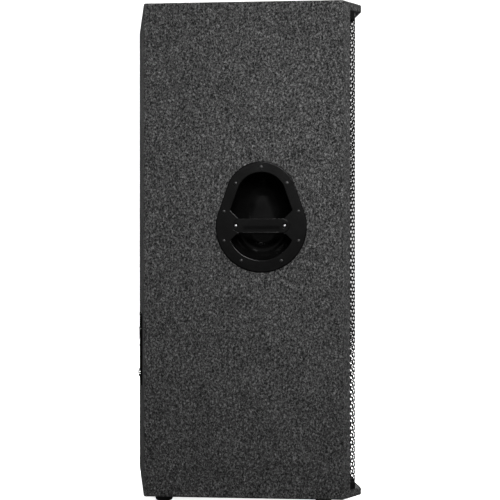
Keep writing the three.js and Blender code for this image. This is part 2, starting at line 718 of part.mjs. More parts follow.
/** The flange, the cup behind it and the two ledges that the bar's ends sit on. */
function handleCup() {
  const flange = solid(new THREE.ExtrudeGeometry(pear(0), {
    depth: FLANGE_FRONT - FLANGE_BACK - 1.2,
    bevelThickness: 1.2,
    bevelSize: 1.2,
    bevelOffset: -1.2,
    bevelSegments: 1,
    curveSegments: HANDLE_SEGMENTS,
  }).translate(0, 0, FLANGE_BACK)).intersect(box([-WIDE, -WIDE, FLANGE_BACK], [WIDE, WIDE, WIDE]));
  const ledge = box([46, BAR_CENTRE - BAR_HALF_WIDTH, -12], [84, BAR_CENTRE + BAR_HALF_WIDTH, -3]);
  const ledges = ledge.add(ledge.rotate(0, 180, 0).translate(0, 0, -15));
  const outside = bowl(CUP_WALL_INSET, CUP_DEPTH, FLANGE_FRONT - 1);
  const inside = bowl(CUP_OPENING_INSET, CUP_DEPTH - 3, FLANGE_BACK + 0.2);
  return flange
    .subtract(flangeOpening())
    .add(outside.subtract(inside).subtract(flangeOpening()))
    .add(ledges.intersect(outside))
    .subtract(barPrism(0.4, -3 + JOINT_GAP / 2, WIDE));
}

/** The grip bar: flat screwed ends, and a deeper rounded grip between them. */
function handleBar() {
  const ends = barPrism(0, -3 + JOINT_GAP, FLANGE_FRONT);
  const grip = roundedBox(
    [-42, BAR_CENTRE - BAR_HALF_WIDTH, -18],
    [42, BAR_CENTRE + BAR_HALF_WIDTH, FLANGE_FRONT],
    6,
  );
  const recess = solid(new THREE.CylinderGeometry(7, 7, 4, 16).rotateX(Math.PI / 2));
  return ends.add(grip)
    .subtract(recess.translate(BAR_SCREW_X, BAR_CENTRE, FLANGE_FRONT))
    .subtract(recess.translate(-BAR_SCREW_X, BAR_CENTRE, FLANGE_FRONT));
}

function handle(sideName, side) {
  const group = new THREE.Group();
  group.applyMatrix4(handleFrame(side));
  group.add(
    part(`handle_cup_${sideName}`, handleCup(), FINISHES.blackPlastic),
    part(`handle_bar_${sideName}`, handleBar(), FINISHES.blackPlastic),
  );
  return group;
}

// ---------------------------------------------------------------- rear connectors

/** A group on the rear of the cabinet whose +Y points out of the rear face. */
function onRear(x, z) {
  const group = new THREE.Group();
  group.position.set(x, REAR_Y, z);
  return group;
}

const PLATE_BACK = 0.25;
const PLATE_FRONT = PLATE_BACK + PLATE_THICKNESS;
const TWIST_LOCK_HOLE = 12.2;
const JACK_HOLE = 5;

function connectorPlate() {
  const cornerRadius = 8;
  const shape = roundedCorners([
    [-PLATE_WIDTH / 2, -PLATE_HEIGHT / 2],
    [PLATE_WIDTH / 2, -PLATE_HEIGHT / 2],
    [PLATE_WIDTH / 2, PLATE_HEIGHT / 2],
    [-PLATE_WIDTH / 2, PLATE_HEIGHT / 2],
  ].map(([x, y]) => new THREE.Vector2(x, y)), cornerRadius);
  for (const side of [-1, 1]) {
    const socket = new THREE.Path();
    socket.absarc(side * TWIST_LOCK_X, TWIST_LOCK_Z - PLATE_CENTRE_Z, TWIST_LOCK_HOLE, 0, 2 * Math.PI, true);
    const jack = new THREE.Path();
    jack.absarc(side * JACK_X, JACK_Z - PLATE_CENTRE_Z, JACK_HOLE, 0, 2 * Math.PI, true);
    shape.holes.push(socket, jack);
  }
  const plate = new THREE.ExtrudeGeometry(shape, {
    depth: PLATE_THICKNESS, bevelEnabled: false, curveSegments: 8,
  });
  return solid(plate.rotateX(Math.PI / 2).translate(0, PLATE_FRONT, 0));
}

/** A round twist-lock socket: square flange, barrel through the plate, ring-shaped mouth round a post. */
function twistLockSocket() {
  const front = PLATE_FRONT + JOINT_GAP;
  const flange = roundedBox([-13, front, -15.5], [13, front + 2, 15.5], 0.9);
  const barrel = rod(11.8, -28, front + 1, SMALL_SEGMENTS);
  const mouth = ring(5, 9.8, -22, 20, SMALL_SEGMENTS);
  return flange.add(barrel).subtract(mouth);
}

/** A jack socket: body behind the plate and a bored bush through it. */
function jackSocket() {
  const body = roundedBox([-8, -28, -8], [8, -JOINT_GAP, 8], 1.2);
  const bush = rod(4.7, -2, 6.4, SMALL_SEGMENTS);
  return body.add(bush).subtract(rod(3.2, -24, 10, SMALL_SEGMENTS));
}

/** The jack's ring nut, outside the plate. */
function jackNut() {
  const back = PLATE_FRONT + JOINT_GAP;
  return turned([[5, back], [7.25, back], [7.25, 6], [6.4, 7], [5, 7]], SMALL_SEGMENTS);
}

function connectorParts() {
  const plate = onRear(0, PLATE_CENTRE_Z);
  plate.add(part('connector_plate', connectorPlate(), FINISHES.blackSteel));
  const groups = [plate];
  for (const [sideName, side] of [['left', -1], ['right', 1]]) {
    const lock = onRear(side * TWIST_LOCK_X, TWIST_LOCK_Z);
    lock.add(part(`twist_lock_socket_${sideName}`, twistLockSocket(), FINISHES.blackPlastic));
    const jack = onRear(side * JACK_X, JACK_Z);
    jack.add(
      part(`jack_socket_${sideName}`, jackSocket(), FINISHES.blackPlastic),
      part(`jack_nut_${sideName}`, jackNut(), FINISHES.plateSteel),
    );
    groups.push(lock, jack);
  }
  return groups;
}

// ---------------------------------------------------------------- electrics and damping inside

const STANDOFF_LENGTH = 10;
const CIRCUIT_BOARD = 1.6;
const CROSSOVER_FACE_Y = REAR_BOARD_INSIDE_Y - STANDOFF_LENGTH - CIRCUIT_BOARD;

/** The circuit board with its four standoffs against the rear panel. */
function crossoverBoard() {
  const [halfWidth, halfHeight] = [90, 65];
  const [cornerX, cornerZ] = [halfWidth - 8, halfHeight - 8];
  let board = box(
    [-halfWidth, CROSSOVER_FACE_Y, CROSSOVER_Z - halfHeight],
    [halfWidth, CROSSOVER_FACE_Y + CIRCUIT_BOARD, CROSSOVER_Z + halfHeight],
  );
  const standoff = rod(4, CROSSOVER_FACE_Y + CIRCUIT_BOARD / 2, REAR_BOARD_INSIDE_Y, 8);
  for (const x of [-cornerX, cornerX]) {
    for (const z of [-cornerZ, cornerZ]) board = board.add(standoff.translate(x, 0, CROSSOVER_Z + z));
  }
  return board;
}

/** An air-core coil standing on the board. */
function inductor(x, radius, height) {
  const foot = CROSSOVER_FACE_Y - JOINT_GAP;
  return ring(8, radius, foot - height, foot).translate(x, 0, CROSSOVER_Z + 15);
}

/** A round capacitor lying across the board. */
function capacitor() {
  const [radius, length] = [9, 46];
  const body = new THREE.CylinderGeometry(radius, radius, length, SMALL_SEGMENTS).rotateZ(Math.PI / 2);
  return solid(body.translate(0, CROSSOVER_FACE_Y - radius - JOINT_GAP, CROSSOVER_Z - 42));
}

/** A tube along a smooth path through the points. */
function cable(radius, points, steps) {
  const section = new THREE.Shape();
  section.absarc(0, 0, radius, 0, 2 * Math.PI, false);
  const path = new THREE.CatmullRomCurve3(points.map((point) => new THREE.Vector3(...point)));
  return solid(new THREE.ExtrudeGeometry(section, { steps, extrudePath: path, curveSegments: 3 }));
}

/** Cable up the rear of the cabinet, with a branch to each driver. */
function wiringHarness() {
  const trunkX = 80;
  const trunkY = REAR_BOARD_INSIDE_Y - 62;
  const trunk = cable(4.5, [
    [trunkX, trunkY, 262], [trunkX, trunkY, 450], [trunkX, trunkY, 650], [trunkX, trunkY, 950],
  ], 6);
  const branch = (z, endX, endY, endZ) => cable(3, [
    [trunkX, trunkY, z], [trunkX - 4, trunkY - 40, z + 6], [(trunkX + endX) / 2, (trunkY + endY) / 2, endZ],
    [endX, endY, endZ],
  ], 8);
  const rearOfWoofer = BAFFLE_FRONT_Y + 160;
  return trunk
    .add(branch(300, 60, rearOfWoofer, WOOFER_HEIGHTS.lower + 20))
    .add(branch(690, 60, rearOfWoofer, WOOFER_HEIGHTS.upper + 20))
    .add(branch(930, 30, BAFFLE_FRONT_Y + 200, HORN_HEIGHT));
}

function dampingPad(bottom, top) {
  const [halfWidth, thickness] = [88, 30];
  return roundedBox(
    [-halfWidth, REAR_BOARD_INSIDE_Y - JOINT_GAP - thickness, bottom],
    [halfWidth, REAR_BOARD_INSIDE_Y - JOINT_GAP, top],
    9,
  );
}

function insideParts() {
  return [
    part('crossover_board', crossoverBoard(), FINISHES.circuitBoard),
    part('inductor_large', inductor(-46, 26, 24), FINISHES.copper),
    part('inductor_small', inductor(40, 19, 18), FINISHES.copper),
    part('capacitor', capacitor(), FINISHES.capacitorSleeve),
    part('wiring_harness', wiringHarness(), FINISHES.rubber),
    part('damping_pad_lower', dampingPad(60, 240), FINISHES.wadding),
    part('damping_pad_upper', dampingPad(700, 1080), FINISHES.wadding),
  ];
}

// ---------------------------------------------------------------- feet

/** A rubber foot on the floor: flat tread round a screw recess, rounded edge, flat top. */
function foot() {
  const [topRadius, treadRadius, edge] = [20, 13.5, 6.5];
  const profile = [
    [0, 8], [5, 8], [5, 0],
    ...arc(treadRadius, edge, edge, -Math.PI / 2, 0, 2),
    [topRadius, FOOT_HEIGHT], [0, FOOT_HEIGHT],
  ];
  return turned(profile, 16);
}

function feet() {
  const places = {
    rear_left: [-125, REAR_Y - 48],
    rear_right: [125, REAR_Y - 48],
    front_left: [-186, REAR_Y - 409],
    front_right: [186, REAR_Y - 409],
  };
  return Object.entries(places).map(([name, [x, y]]) => {
    const mesh = part(`foot_${name}`, foot(), FINISHES.rubber);
    mesh.position.set(x, y, 0);
    mesh.rotation.x = Math.PI / 2;
    return mesh;
  });
}

// ---------------------------------------------------------------- assembly

const cabinet = new THREE.Group();
cabinet.add(
  ...cabinetParts(),
  part('grille', grille(), FINISHES.blackSteel),
  woofer('lower'),
  woofer('upper'),
  hornAndDriver(),
  reflexPort('port_left', -PORT_X),
  reflexPort('port_right', PORT_X),
  handle('left', -1),
  handle('right', 1),
  ...connectorParts(),
  ...insideParts(),
  ...feet(),
);

export default cabinet;
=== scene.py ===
"""Looks of an upright loudspeaker cabinet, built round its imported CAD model.

Shapes are made in millimetres, in a frame of their own, and placed in the row frame, which is in metres.
"""

import json
import math
from functools import lru_cache

import bmesh
import bpy
import numpy as np
from mathutils import Matrix, Vector, noise
from mathutils.bvhtree import BVHTree


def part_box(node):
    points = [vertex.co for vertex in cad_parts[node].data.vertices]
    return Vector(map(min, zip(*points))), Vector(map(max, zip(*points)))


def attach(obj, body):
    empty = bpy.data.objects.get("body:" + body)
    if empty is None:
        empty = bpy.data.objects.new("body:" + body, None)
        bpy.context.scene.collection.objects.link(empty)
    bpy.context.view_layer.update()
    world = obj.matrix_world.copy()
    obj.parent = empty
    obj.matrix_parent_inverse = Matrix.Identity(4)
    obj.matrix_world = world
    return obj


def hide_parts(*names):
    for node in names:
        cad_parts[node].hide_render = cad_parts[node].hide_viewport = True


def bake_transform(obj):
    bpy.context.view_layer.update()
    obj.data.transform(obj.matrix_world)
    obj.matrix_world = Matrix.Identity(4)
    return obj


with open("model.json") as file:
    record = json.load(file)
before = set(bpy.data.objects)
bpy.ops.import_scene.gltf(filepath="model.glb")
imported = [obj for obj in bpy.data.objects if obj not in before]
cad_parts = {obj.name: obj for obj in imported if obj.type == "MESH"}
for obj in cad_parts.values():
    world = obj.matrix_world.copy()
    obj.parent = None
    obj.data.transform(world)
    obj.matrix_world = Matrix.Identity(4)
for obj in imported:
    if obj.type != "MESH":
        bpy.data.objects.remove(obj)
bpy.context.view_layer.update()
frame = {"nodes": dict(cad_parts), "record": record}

MM = 0.001

# ---------------------------------------------------------------- sizes, in millimetres

# Corners of the carpeted plan on its +X side: front of the lip, shoulder and rear.
LIP = Vector((208, -250))
SHOULDER = Vector((250, -197))
REAR = Vector((155, 243))

PAINTED_FROM = -178
GRILLE_FRONT_Y = -232.0
GRILLE_SIDE_Y = -218.3
GRILLE_SHEET = 0.4
GRILLE_BEND_RADIUS = 2.5
HOLE_RADIUS = 3.45
HOLE_PITCH = 9.49
LAST_HOLE = 238.5
HOLE_MARGIN = 14.8

HANDLE_LOW_RADIUS = 101.3
HANDLE_TOP_RADIUS = 79.6
HANDLE_TOP_CENTRE = 66.4
HANDLE_SIDE_ANGLE = math.radians(19.6)
HANDLE_FLANGE = (0.3, 3.3)
HANDLE_OPENING_INSET = 23.2
HANDLE_LOWER_OPENING = 75
HANDLE_DISH_INSET = 22.8
HANDLE_LIP = 1.8
BAR_CENTRE = 2.6
BAR_HALF_WIDTH = 15.9
BAR_END_CENTRE = 47
BAR_SCREW_X = 55.0
BAR_SCREW_SHIFT = -2.5
BAR_SCREW_LEVEL = -0.9

PLATE_LEVELS = (0.25, 2.5)
HORN_LENGTH = 130
THROAT = 12.7

CARPET_STEP = 5.0
ROUND = 96
SMALL_ROUND = 48

# ---------------------------------------------------------------- studio, in metres

CAMERA_PLACE = (-2.42, 0.3205, 0.575)
CAMERA_LOOK = (0.9901, -0.1404, 0)
CAMERA_LENS = 71.57
CAMERA_SHIFT = (-0.0002, -0.0001)
BACKDROP_LIGHT = 1.35
AMBIENT_LIGHT = 0.3
FLOOR_REACH = 30


# ---------------------------------------------------------------- places

def lowest(node):
    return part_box(node)[0] / MM


def highest(node):
    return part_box(node)[1] / MM


def middle(node):
    return (lowest(node) + highest(node)) / 2


def place(origin, across, up, out):
    """The matrix that puts a shape's x, y and z along three directions from an origin in millimetres."""
    turn = Matrix((across, up, out)).transposed().to_4x4()
    return Matrix.Translation(Vector(origin) * MM) @ turn @ Matrix.Scale(MM, 4)


def facing_front(x, z):
    """x to the right, y up and z forward from the baffle's face."""
    return place((x, lowest("front_baffle").y, z), (1, 0, 0), (0, 0, 1), (0, -1, 0))


def facing_rear(x, z):
    """y up and z out of the cabinet's rear face."""
    return place((x, REAR.y, z), (-1, 0, 0), (0, 0, 1), (0, 1, 0))


def upright(x, y, z=0):
    return place((x, y, z), (1, 0, 0), (0, 1, 0), (0, 0, 1))


def on_side(side, name):
    """A handle's own frame: y up and z straight out of the side it is on."""
    along = (SHOULDER - REAR).normalized()
    out = Vector((-side * along.y, along.x, 0))
    y = middle(f"handle_bar_{name}").y
    x = side * (REAR.x + (REAR.y - y) * along.x / -along.y)
    z = lowest(f"handle_cup_{name}").z + HANDLE_LOW_RADIUS
    return place((x, y, z), Vector((0, 0, 1)).cross(out), (0, 0, 1), out)


# ---------------------------------------------------------------- shapes: (points, faces)

def join(*shapes):
    points, faces = [], []
    for more_points, more_faces in shapes:
        start = len(points)
        points.extend(tuple(point) for point in more_points)
        faces.extend([start + corner for corner in face] for face in more_faces)
    return points, faces


def placed(shape, matrix):
    points, faces = shape
    return [tuple(matrix @ Vector(point)) for point in points], faces


def shifted(shape, x=0.0, y=0.0, z=0.0):
    return placed(shape, Matrix.Translation((x, y, z)))


def in_metres(shape):
    return placed(shape, Matrix.Scale(MM, 4))


def spun(shape, degrees):
    """A shape turned about z."""
    return placed(shape, Matrix.Rotation(math.radians(degrees), 4, "Z"))


def smooth(t):
    """A step from 0 to 1 that starts and ends level."""
    t = min(1.0, max(0.0, t))
    return t * t * (3 - 2 * t)


def arc(x, y, radius, start, end, steps):
    """Points of an arc, with its angles in degrees."""
    angles = np.radians(np.linspace(start, end, steps + 1))
    return [(x + radius * math.cos(a), y + radius * math.sin(a)) for a in angles]


def rounded(corners, radius, steps=4, closed=True):
    """An outline with its corners rounded. A corner given as (x, y, r) has its own radius."""
    outline = []
    count = len(corners)
    for i, corner in enumerate(corners):
        here = Vector(corner[:2])
        size = corner[2] if len(corner) > 2 else radius
        if size == 0 or (not closed and i in (0, count - 1)):
            outline.append(tuple(here))
            continue
        before = Vector(corners[i - 1][:2]) - here
        after = Vector(corners[(i + 1) % count][:2]) - here
        half = before.angle(after) / 2
        if math.pi / 2 - half < 1e-3:
            outline.append(tuple(here))
            continue
        reach = min(size / math.tan(half), 0.49 * before.length, 0.49 * after.length)
        size = reach * math.tan(half)
        bisector = (before.normalized() + after.normalized()).normalized()
        centre = here + bisector * size / math.sin(half)
        start = here + before.normalized() * reach - centre
        end = here + after.normalized() * reach - centre
        turn = start.angle_signed(end)
        for k in range(steps + 1):
            outline.append(tuple(centre + Matrix.Rotation(-turn * k / steps, 2) @ start))
    return outline


def rectangle(low_x, low_y, high_x, high_y):
    return [(low_x, low_y), (high_x, low_y), (high_x, high_y), (low_x, high_y)]


def unrounded(points):
    """Points that rounded() leaves as they are."""
    return [(*point, 0) for point in points]


def turned(profile, segments=ROUND):
    """A solid turned about z from a (radius, z) outline that closes on itself or runs from axis to axis."""
    if sum(a[0] * b[1] - b[0] * a[1] for a, b in zip(profile, profile[1:] + profile[:1])) < 0:
        profile = profile[::-1]
    on_axis = profile[0][0] < 1e-6 and profile[-1][0] < 1e-6
    points, rows = [], []
    for radius, z in profile:
        if radius < 1e-6:
            rows.append([len(points)] * segments)
            points.append((0, 0, z))
        else:
            rows.append(list(range(len(points), len(points) + segments)))
            points.extend((x, y, z) for x, y in arc(0, 0, radius, 0, 360, segments)[:-1])
    faces = []
    for low, high in zip(rows, rows[1:] if on_axis else rows[1:] + rows[:1]):
        for k in range(segments):
            after = (k + 1) % segments
            face = [low[k], low[after], high[after], high[k]]
            faces.append(list(dict.fromkeys(face)))
    return points, [face for face in faces if len(face) > 2]


def ring(inner, outer, low, high, edge=0.6, segments=ROUND):
    return turned(rounded(rectangle(inner, low, outer, high), edge, 3), segments)


def lofted(loops, closed=False):
    """Skins successive loops that have the same number of points, and caps the ends unless it closes."""
    points = [tuple(point) for loop in loops for point in loop]
    size = len(loops[0])
    faces = []
    for row in range(len(loops) if closed else len(loops) - 1):
        low, high = row * size, (row + 1) % len(loops) * size
        for k in range(size):
            after = (k + 1) % size
            faces.append([low + k, low + after, high + after, high + k])
    if not closed:
        faces.append(list(range(size))[::-1])
        faces.append([(len(loops) - 1) * size + k for k in range(size)])
    return points, faces


def prism(outline, low, high):
    return lofted([[(x, y, z) for x, y in outline] for z in (low, high)])


def outward(outline):
    """Directions out of an anticlockwise outline, long enough at a corner to keep both edges' distance."""
    here = np.array(outline, float)
    first = here - np.roll(here, 1, 0)
    second = np.roll(here, -1, 0) - here
    first /= np.linalg.norm(first, axis=1)[:, None]
    second /= np.linalg.norm(second, axis=1)[:, None]
    along = first + second
    length = np.linalg.norm(along, axis=1)[:, None]
    normal = np.stack([along[:, 1], -along[:, 0]], 1) / length
    return normal / np.clip(length / 2, 0.5, 1)


def anticlockwise(outline):
    area = sum(a[0] * b[1] - b[0] * a[1] for a, b in zip(outline, outline[1:] + outline[:1]))
    return outline if area > 0 else outline[::-1]


def plate(outer, holes, back, front, edge=0.8, hole_edge=0.5, steps=4):
    """A flat plate with holes, whose front edges are rounded. hole_edge may be a list for each hole."""
    shape = bmesh.new()
    back_edges, front_edges = [], []
    walls = [(outer, edge, 1)]
    for i, hole in enumerate(holes):
        walls.append((hole, hole_edge[i] if isinstance(hole_edge, list) else hole_edge, -1))
    for outline, radius, side in walls:
        outline = anticlockwise(outline)
        radius = np.broadcast_to(np.array(radius, float), (len(outline),))
        normal = outward(outline)
        loops = [np.column_stack([outline, np.full(len(outline), float(back))])]
        for angle in np.linspace(0, math.pi / 2, steps + 1):
            inset = radius * (1 - math.cos(angle))
            height = front - radius * (1 - math.sin(angle))
            loops.append(np.column_stack([np.array(outline) - side * normal * inset[:, None], height]))
        rows = [[shape.verts.new(point) for point in loop] for loop in loops]
        count = len(outline)
        for low, high in zip(rows, rows[1:]):
            for k in range(count):
                after = (k + 1) % count
                shape.faces.new((low[k], low[after], high[after], high[k]))
        for row, edges in ((rows[0], back_edges), (rows[-1], front_edges)):
            edges.extend(shape.edges.get((row[k], row[(k + 1) % count])) for k in range(count))
    bmesh.ops.triangle_fill(shape, edges=back_edges, use_beauty=True, normal=(0, 0, -1))
    bmesh.ops.triangle_fill(shape, edges=front_edges, use_beauty=True, normal=(0, 0, 1))
    bmesh.ops.recalc_face_normals(shape, faces=shape.faces)
    return taken(shape)


def taken(shape):
    """The points and faces of a bmesh, which is freed."""
    shape.verts.index_update()
    result = [tuple(v.co) for v in shape.verts], [[v.index for v in f.verts] for f in shape.faces]
    shape.free()
    return result


def mesh_of(shape, name="shape"):
    points, faces = shape
    mesh = bpy.data.meshes.new(name)
    mesh.from_pydata(points, [], faces)
    mesh.update()
    return mesh


def without(shape, cutter):
    """A shape with another cut out of it."""
    body = bpy.data.objects.new("body", mesh_of(shape))
    tool = bpy.data.objects.new("tool", mesh_of(cutter))
    for item in (body, tool):
        bpy.context.scene.collection.objects.link(item)
    cut = body.modifiers.new("cut", "BOOLEAN")
    cut.solver = "EXACT"
    cut.object = tool
    bpy.context.view_layer.update()
    result = bmesh.new()
    result.from_object(body, bpy.context.evaluated_depsgraph_get())
    for item in (body, tool):
        bpy.data.objects.remove(item)
    return taken(result)


def block(low, high, radius=1.0, steps=3):
    """A box with its upright and front edges rounded."""
    (x0, y0, z0), (x1, y1, z1) = low, high
    outline = rounded(rectangle(x0, y0, x1, y1), radius, steps)
    return plate(outline, [], z0, z1, radius * 0.9, steps=steps)


def circle(x, y, radius, steps=SMALL_ROUND):
    return arc(x, y, radius, 0, 360, steps)[:-1]


def tube(points, radius, steps=12):
    """A closed tube of round section along a smooth curve through the points."""
    curve = bpy.data.curves.new("tube", "CURVE")
    curve.dimensions = "3D"
    curve.bevel_depth = radius
    curve.bevel_resolution = 3
    curve.resolution_u = steps
    curve.use_fill_caps = True
    spline = curve.splines.new("BEZIER")
    spline.bezier_points.add(len(points) - 1)
    for knot, point in zip(spline.bezier_points, points):
        knot.co = point
        knot.handle_left_type = knot.handle_right_type = "AUTO"
    holder = bpy.data.objects.new("tube", curve)
    bpy.context.scene.collection.objects.link(holder)
    bpy.context.view_layer.update()
    result = bmesh.new()
    result.from_mesh(holder.to_mesh())
    bmesh.ops.remove_doubles(result, verts=result.verts, dist=1e-4)
    holder.to_mesh_clear()
    bpy.data.objects.remove(holder)
    return taken(result)


# ---------------------------------------------------------------- material nodes

def add(tree, kind, inputs=None, **settings):
    """A shader node, with its inputs set or linked."""
    node = tree.nodes.new("ShaderNode" + kind)
    for key, value in settings.items():
        setattr(node, key, value)
    for key, value in (inputs or {}).items():
        if isinstance(value, bpy.types.NodeSocket):
            tree.links.new(value, node.inputs[key])
        else:
            node.inputs[key].default_value = value
    return node


def new_material(name):
    material = bpy.data.materials.new(name)
    material.use_nodes = True
    tree = material.node_tree
    return material, tree, tree.nodes["Principled BSDF"]


def object_place(tree, stretch=(1, 1, 1)):
    """Coordinates in the object's own metres, stretched along its axes."""
    place_node = add(tree, "TexCoord")
    return add(tree, "Mapping", {"Vector": place_node.outputs["Object"], "Scale": stretch}).outputs["Vector"]


def cloud(tree, where, size, detail=2.0, roughness=0.5, distortion=0.0):
    """Noise whose features measure about size millimetres."""
    return add(tree, "TexNoise", {
        "Vector": where, "Scale": 1 / (size * MM), "Detail": detail, "Roughness": roughness,
        "Distortion": distortion,
    })


def maths(tree, operation, *values):
    return add(tree, "Math", dict(enumerate(values)), operation=operation).outputs[0]


def weighted(tree, *terms):
    """The sum of patterns, each given with its weight."""
    total = None
    for pattern, weight in terms:
        share = maths(tree, "MULTIPLY", pattern, weight)
        total = maths(tree, "ADD", total, share) if total else share
    return total


def ramp(tree, value, stops):
    """A colour that follows a value, through (level, colour) stops."""
    node = add(tree, "ValToRGB", {"Fac": value})
    while len(node.color_ramp.elements) < len(stops):
        node.color_ramp.elements.new(0.5)
    for element, (position, colour) in zip(node.color_ramp.elements, stops):
        element.position = position
        element.color = (*colour, 1)
    return node.outputs["Color"]


def spread(tree, value, low, high, start=0.3, end=0.7):
    """A value between two others, following a pattern from its start level to its end level."""
    return add(tree, "MapRange", {
        "Value": value, "From Min": start, "From Max": end, "To Min": low, "To Max": high,
    }).outputs["Result"]


def relief(tree, shader, height, depth, strength=1.0):
    """Bump of a depth in millimetres."""
    bump = add(tree, "Bump", {"Height": height, "Distance": depth * MM, "Strength": strength})
    tree.links.new(bump.outputs["Normal"], shader.inputs["Normal"])


def feed(tree, shader, **sockets):
    """Sets or links a shader's inputs, named with underscores for spaces."""
    for key, value in sockets.items():
        socket = shader.inputs[key.replace("_", " ")]
        if isinstance(value, bpy.types.NodeSocket):
            tree.links.new(value, socket)
        else:
            socket.default_value = value


def mottled(name, dark, light, grain, roughness, depth, metallic=0.0, broad=60, stretch=(1, 1, 1), **more):
    """A surface with a fine grain and slow, broad changes of colour and sheen."""
    material, tree, shader = new_material(name)
    where = object_place(tree, stretch)
    fine = cloud(tree, where, grain, 3.0, 0.6).outputs["Fac"]
    slow = cloud(tree, where, broad, 2.0).outputs["Fac"]
    mixed = weighted(tree, (fine, 0.6), (slow, 0.4))
    feed(tree, shader, Base_Color=ramp(tree, mixed, [(0.35, dark), (0.65, light)]),
         Roughness=spread(tree, slow, *roughness), Metallic=metallic, **more)
    relief(tree, shader, fine, depth)
    return material


def grey(level, tint=0.0):
    """A grey, made bluer by its tint."""
    return (level, level, level * (1 + tint))


def carpet_material():
    """Needle-punched felt: curled light fibres over a mottled charcoal ground, drawn slightly upright."""
    material, tree, shader = new_material("carpet")
    where = object_place(tree, (1.22, 1.22, 1))
    swirl = cloud(tree, where, 7.0, 1.0).outputs["Color"]
    centred = add(tree, "VectorMath", {0: swirl, 1: (0.5, 0.5, 0.5)}, operation="SUBTRACT").outputs[0]
    push = add(tree, "VectorMath", {0: centred, "Scale": 0.008}, operation="SCALE").outputs[0]
    curled = add(tree, "VectorMath", {0: where, 1: push}, operation="ADD").outputs[0]
    strands = cloud(tree, curled, 3.6, 1.5, 0.55).outputs["Fac"]
    ridge = maths(tree, "ABSOLUTE", maths(tree, "SUBTRACT", strands, 0.5))
    fibre = spread(tree, ridge, 1.0, 0.0, 0.0, 0.11)
    clump = cloud(tree, curled, 4.8, 1.0, 0.5).outputs["Fac"]
    fuzz = cloud(tree, where, 1.5, 2.0, 0.6).outputs["Fac"]
    patch = cloud(tree, where, 60, 1.0).outputs["Fac"]
    drift = maths(tree, "SUBTRACT", patch, 0.5)
    tone = weighted(tree, (clump, 0.62), (fibre, 0.16), (fuzz, 0.22), (drift, 0.05))
    colour = ramp(tree, tone, [
        (0.36, grey(0.005)), (0.50, grey(0.040)), (0.59, grey(0.085)), (0.74, grey(0.21)),
    ])
    feed(tree, shader, Base_Color=colour, Roughness=0.95, Specular_IOR_Level=0.1,
         Sheen_Weight=0.12, Sheen_Roughness=0.5)
    relief(tree, shader, weighted(tree, (clump, 1), (fibre, 0.35), (fuzz, 0.4)), 0.9, 0.8)
    return material


def handle_material():
    """Black moulded plastic, satin on the flange and the bar; its mirror level falls down in the dish, a
    painted shade there.
    """
    material, tree, shader = new_material("handle_plastic")
    where = object_place(tree)
    fine = cloud(tree, where, 0.8, 3.0, 0.6).outputs["Fac"]
    slow = cloud(tree, where, 35, 2.0).outputs["Fac"]
    axes = add(tree, "SeparateXYZ", {"Vector": where}).outputs
    along = (SHOULDER - REAR).normalized()
    # Depth along the side's outward direction: the mirror level drops with it into the dish, as painted
    # shade.
    level = weighted(tree, (maths(tree, "ABSOLUTE", axes["X"]), -along.y), (axes["Y"], along.x))
    feed(tree, shader, Base_Color=ramp(tree, slow, [(0.35, grey(0.0021)), (0.65, grey(0.0031))]),
         Roughness=spread(tree, slow, 0.15, 0.19),
         Specular_IOR_Level=spread(tree, level, 0.16, 0.2, 0.16, 0.196))
    relief(tree, shader, fine, 0.02)
    return material


def plywood_material():
    """Birch veneer with long grain, painted black in front of the baffle."""
    material, tree, shader = new_material("plywood")
    grain = cloud(tree, object_place(tree, (8, 8, 0.6)), 14, 4.0, 0.65, 1.5).outputs["Fac"]
    pores = cloud(tree, object_place(tree, (3, 3, 0.15)), 1.2, 2.0).outputs["Fac"]
    mixed = weighted(tree, (grain, 0.75), (pores, 0.25))
    colour = ramp(tree, mixed, [
        (0.3, (0.23, 0.12, 0.05)), (0.52, (0.45, 0.29, 0.15)), (0.75, (0.62, 0.45, 0.27)),
    ])
    forward = add(tree, "SeparateXYZ", {"Vector": object_place(tree)}).outputs["Y"]
    painted = maths(tree, "LESS_THAN", forward, PAINTED_FROM * MM)
    black = (0.010, 0.010, 0.010, 1)
    colour = add(tree, "MixRGB", {"Fac": painted, "Color1": colour, "Color2": black}).outputs["Color"]
    feed(tree, shader, Base_Color=colour, Roughness=spread(tree, grain, 0.55, 0.8))
    relief(tree, shader, mixed, 0.15)
    return material


def threads(tree, where, width, direction, distortion):
    """Even ridges of a width in millimetres, one after another along a direction."""
    return add(tree, "TexWave", {"Vector": where, "Scale": 0.31 / (width * MM), "Distortion": distortion},
               bands_direction=direction).outputs["Fac"]


def woven_material(name, dark, light, thread, roughness):
    """A plain weave, with threads that run up and across the cabinet."""
    material, tree, shader = new_material(name)
    where = object_place(tree)
    weave = maths(tree, "MAXIMUM", *(threads(tree, where, thread, direction, 0.3) for direction in "XZ"))
    dirt = cloud(tree, where, 22, 3.0).outputs["Fac"]
    mixed = weighted(tree, (weave, 0.5), (dirt, 0.5))
    feed(tree, shader, Base_Color=ramp(tree, mixed, [(0.35, dark), (0.85, light)]),
         Roughness=spread(tree, dirt, *roughness), Sheen_Weight=0.1)
    relief(tree, shader, weave, 0.15)
    return material


def winding_material():
    """Enamelled copper wire wound in close turns about the object's y direction."""
    material, tree, shader = new_material("copper")
    where = object_place(tree)
    turns = threads(tree, where, 1.1, "Y", 0.15)
    varnish = cloud(tree, where, 9, 2.0).outputs["Fac"]
    mixed = weighted(tree, (turns, 0.7), (varnish, 0.3))
    feed(tree, shader, Base_Color=ramp(tree, mixed, [(0.2, (0.16, 0.05, 0.015)), (0.75, (0.72, 0.33, 0.14))]),
         Metallic=0.9, Roughness=spread(tree, varnish, 0.25, 0.45))
    relief(tree, shader, turns, 0.4)
    return material


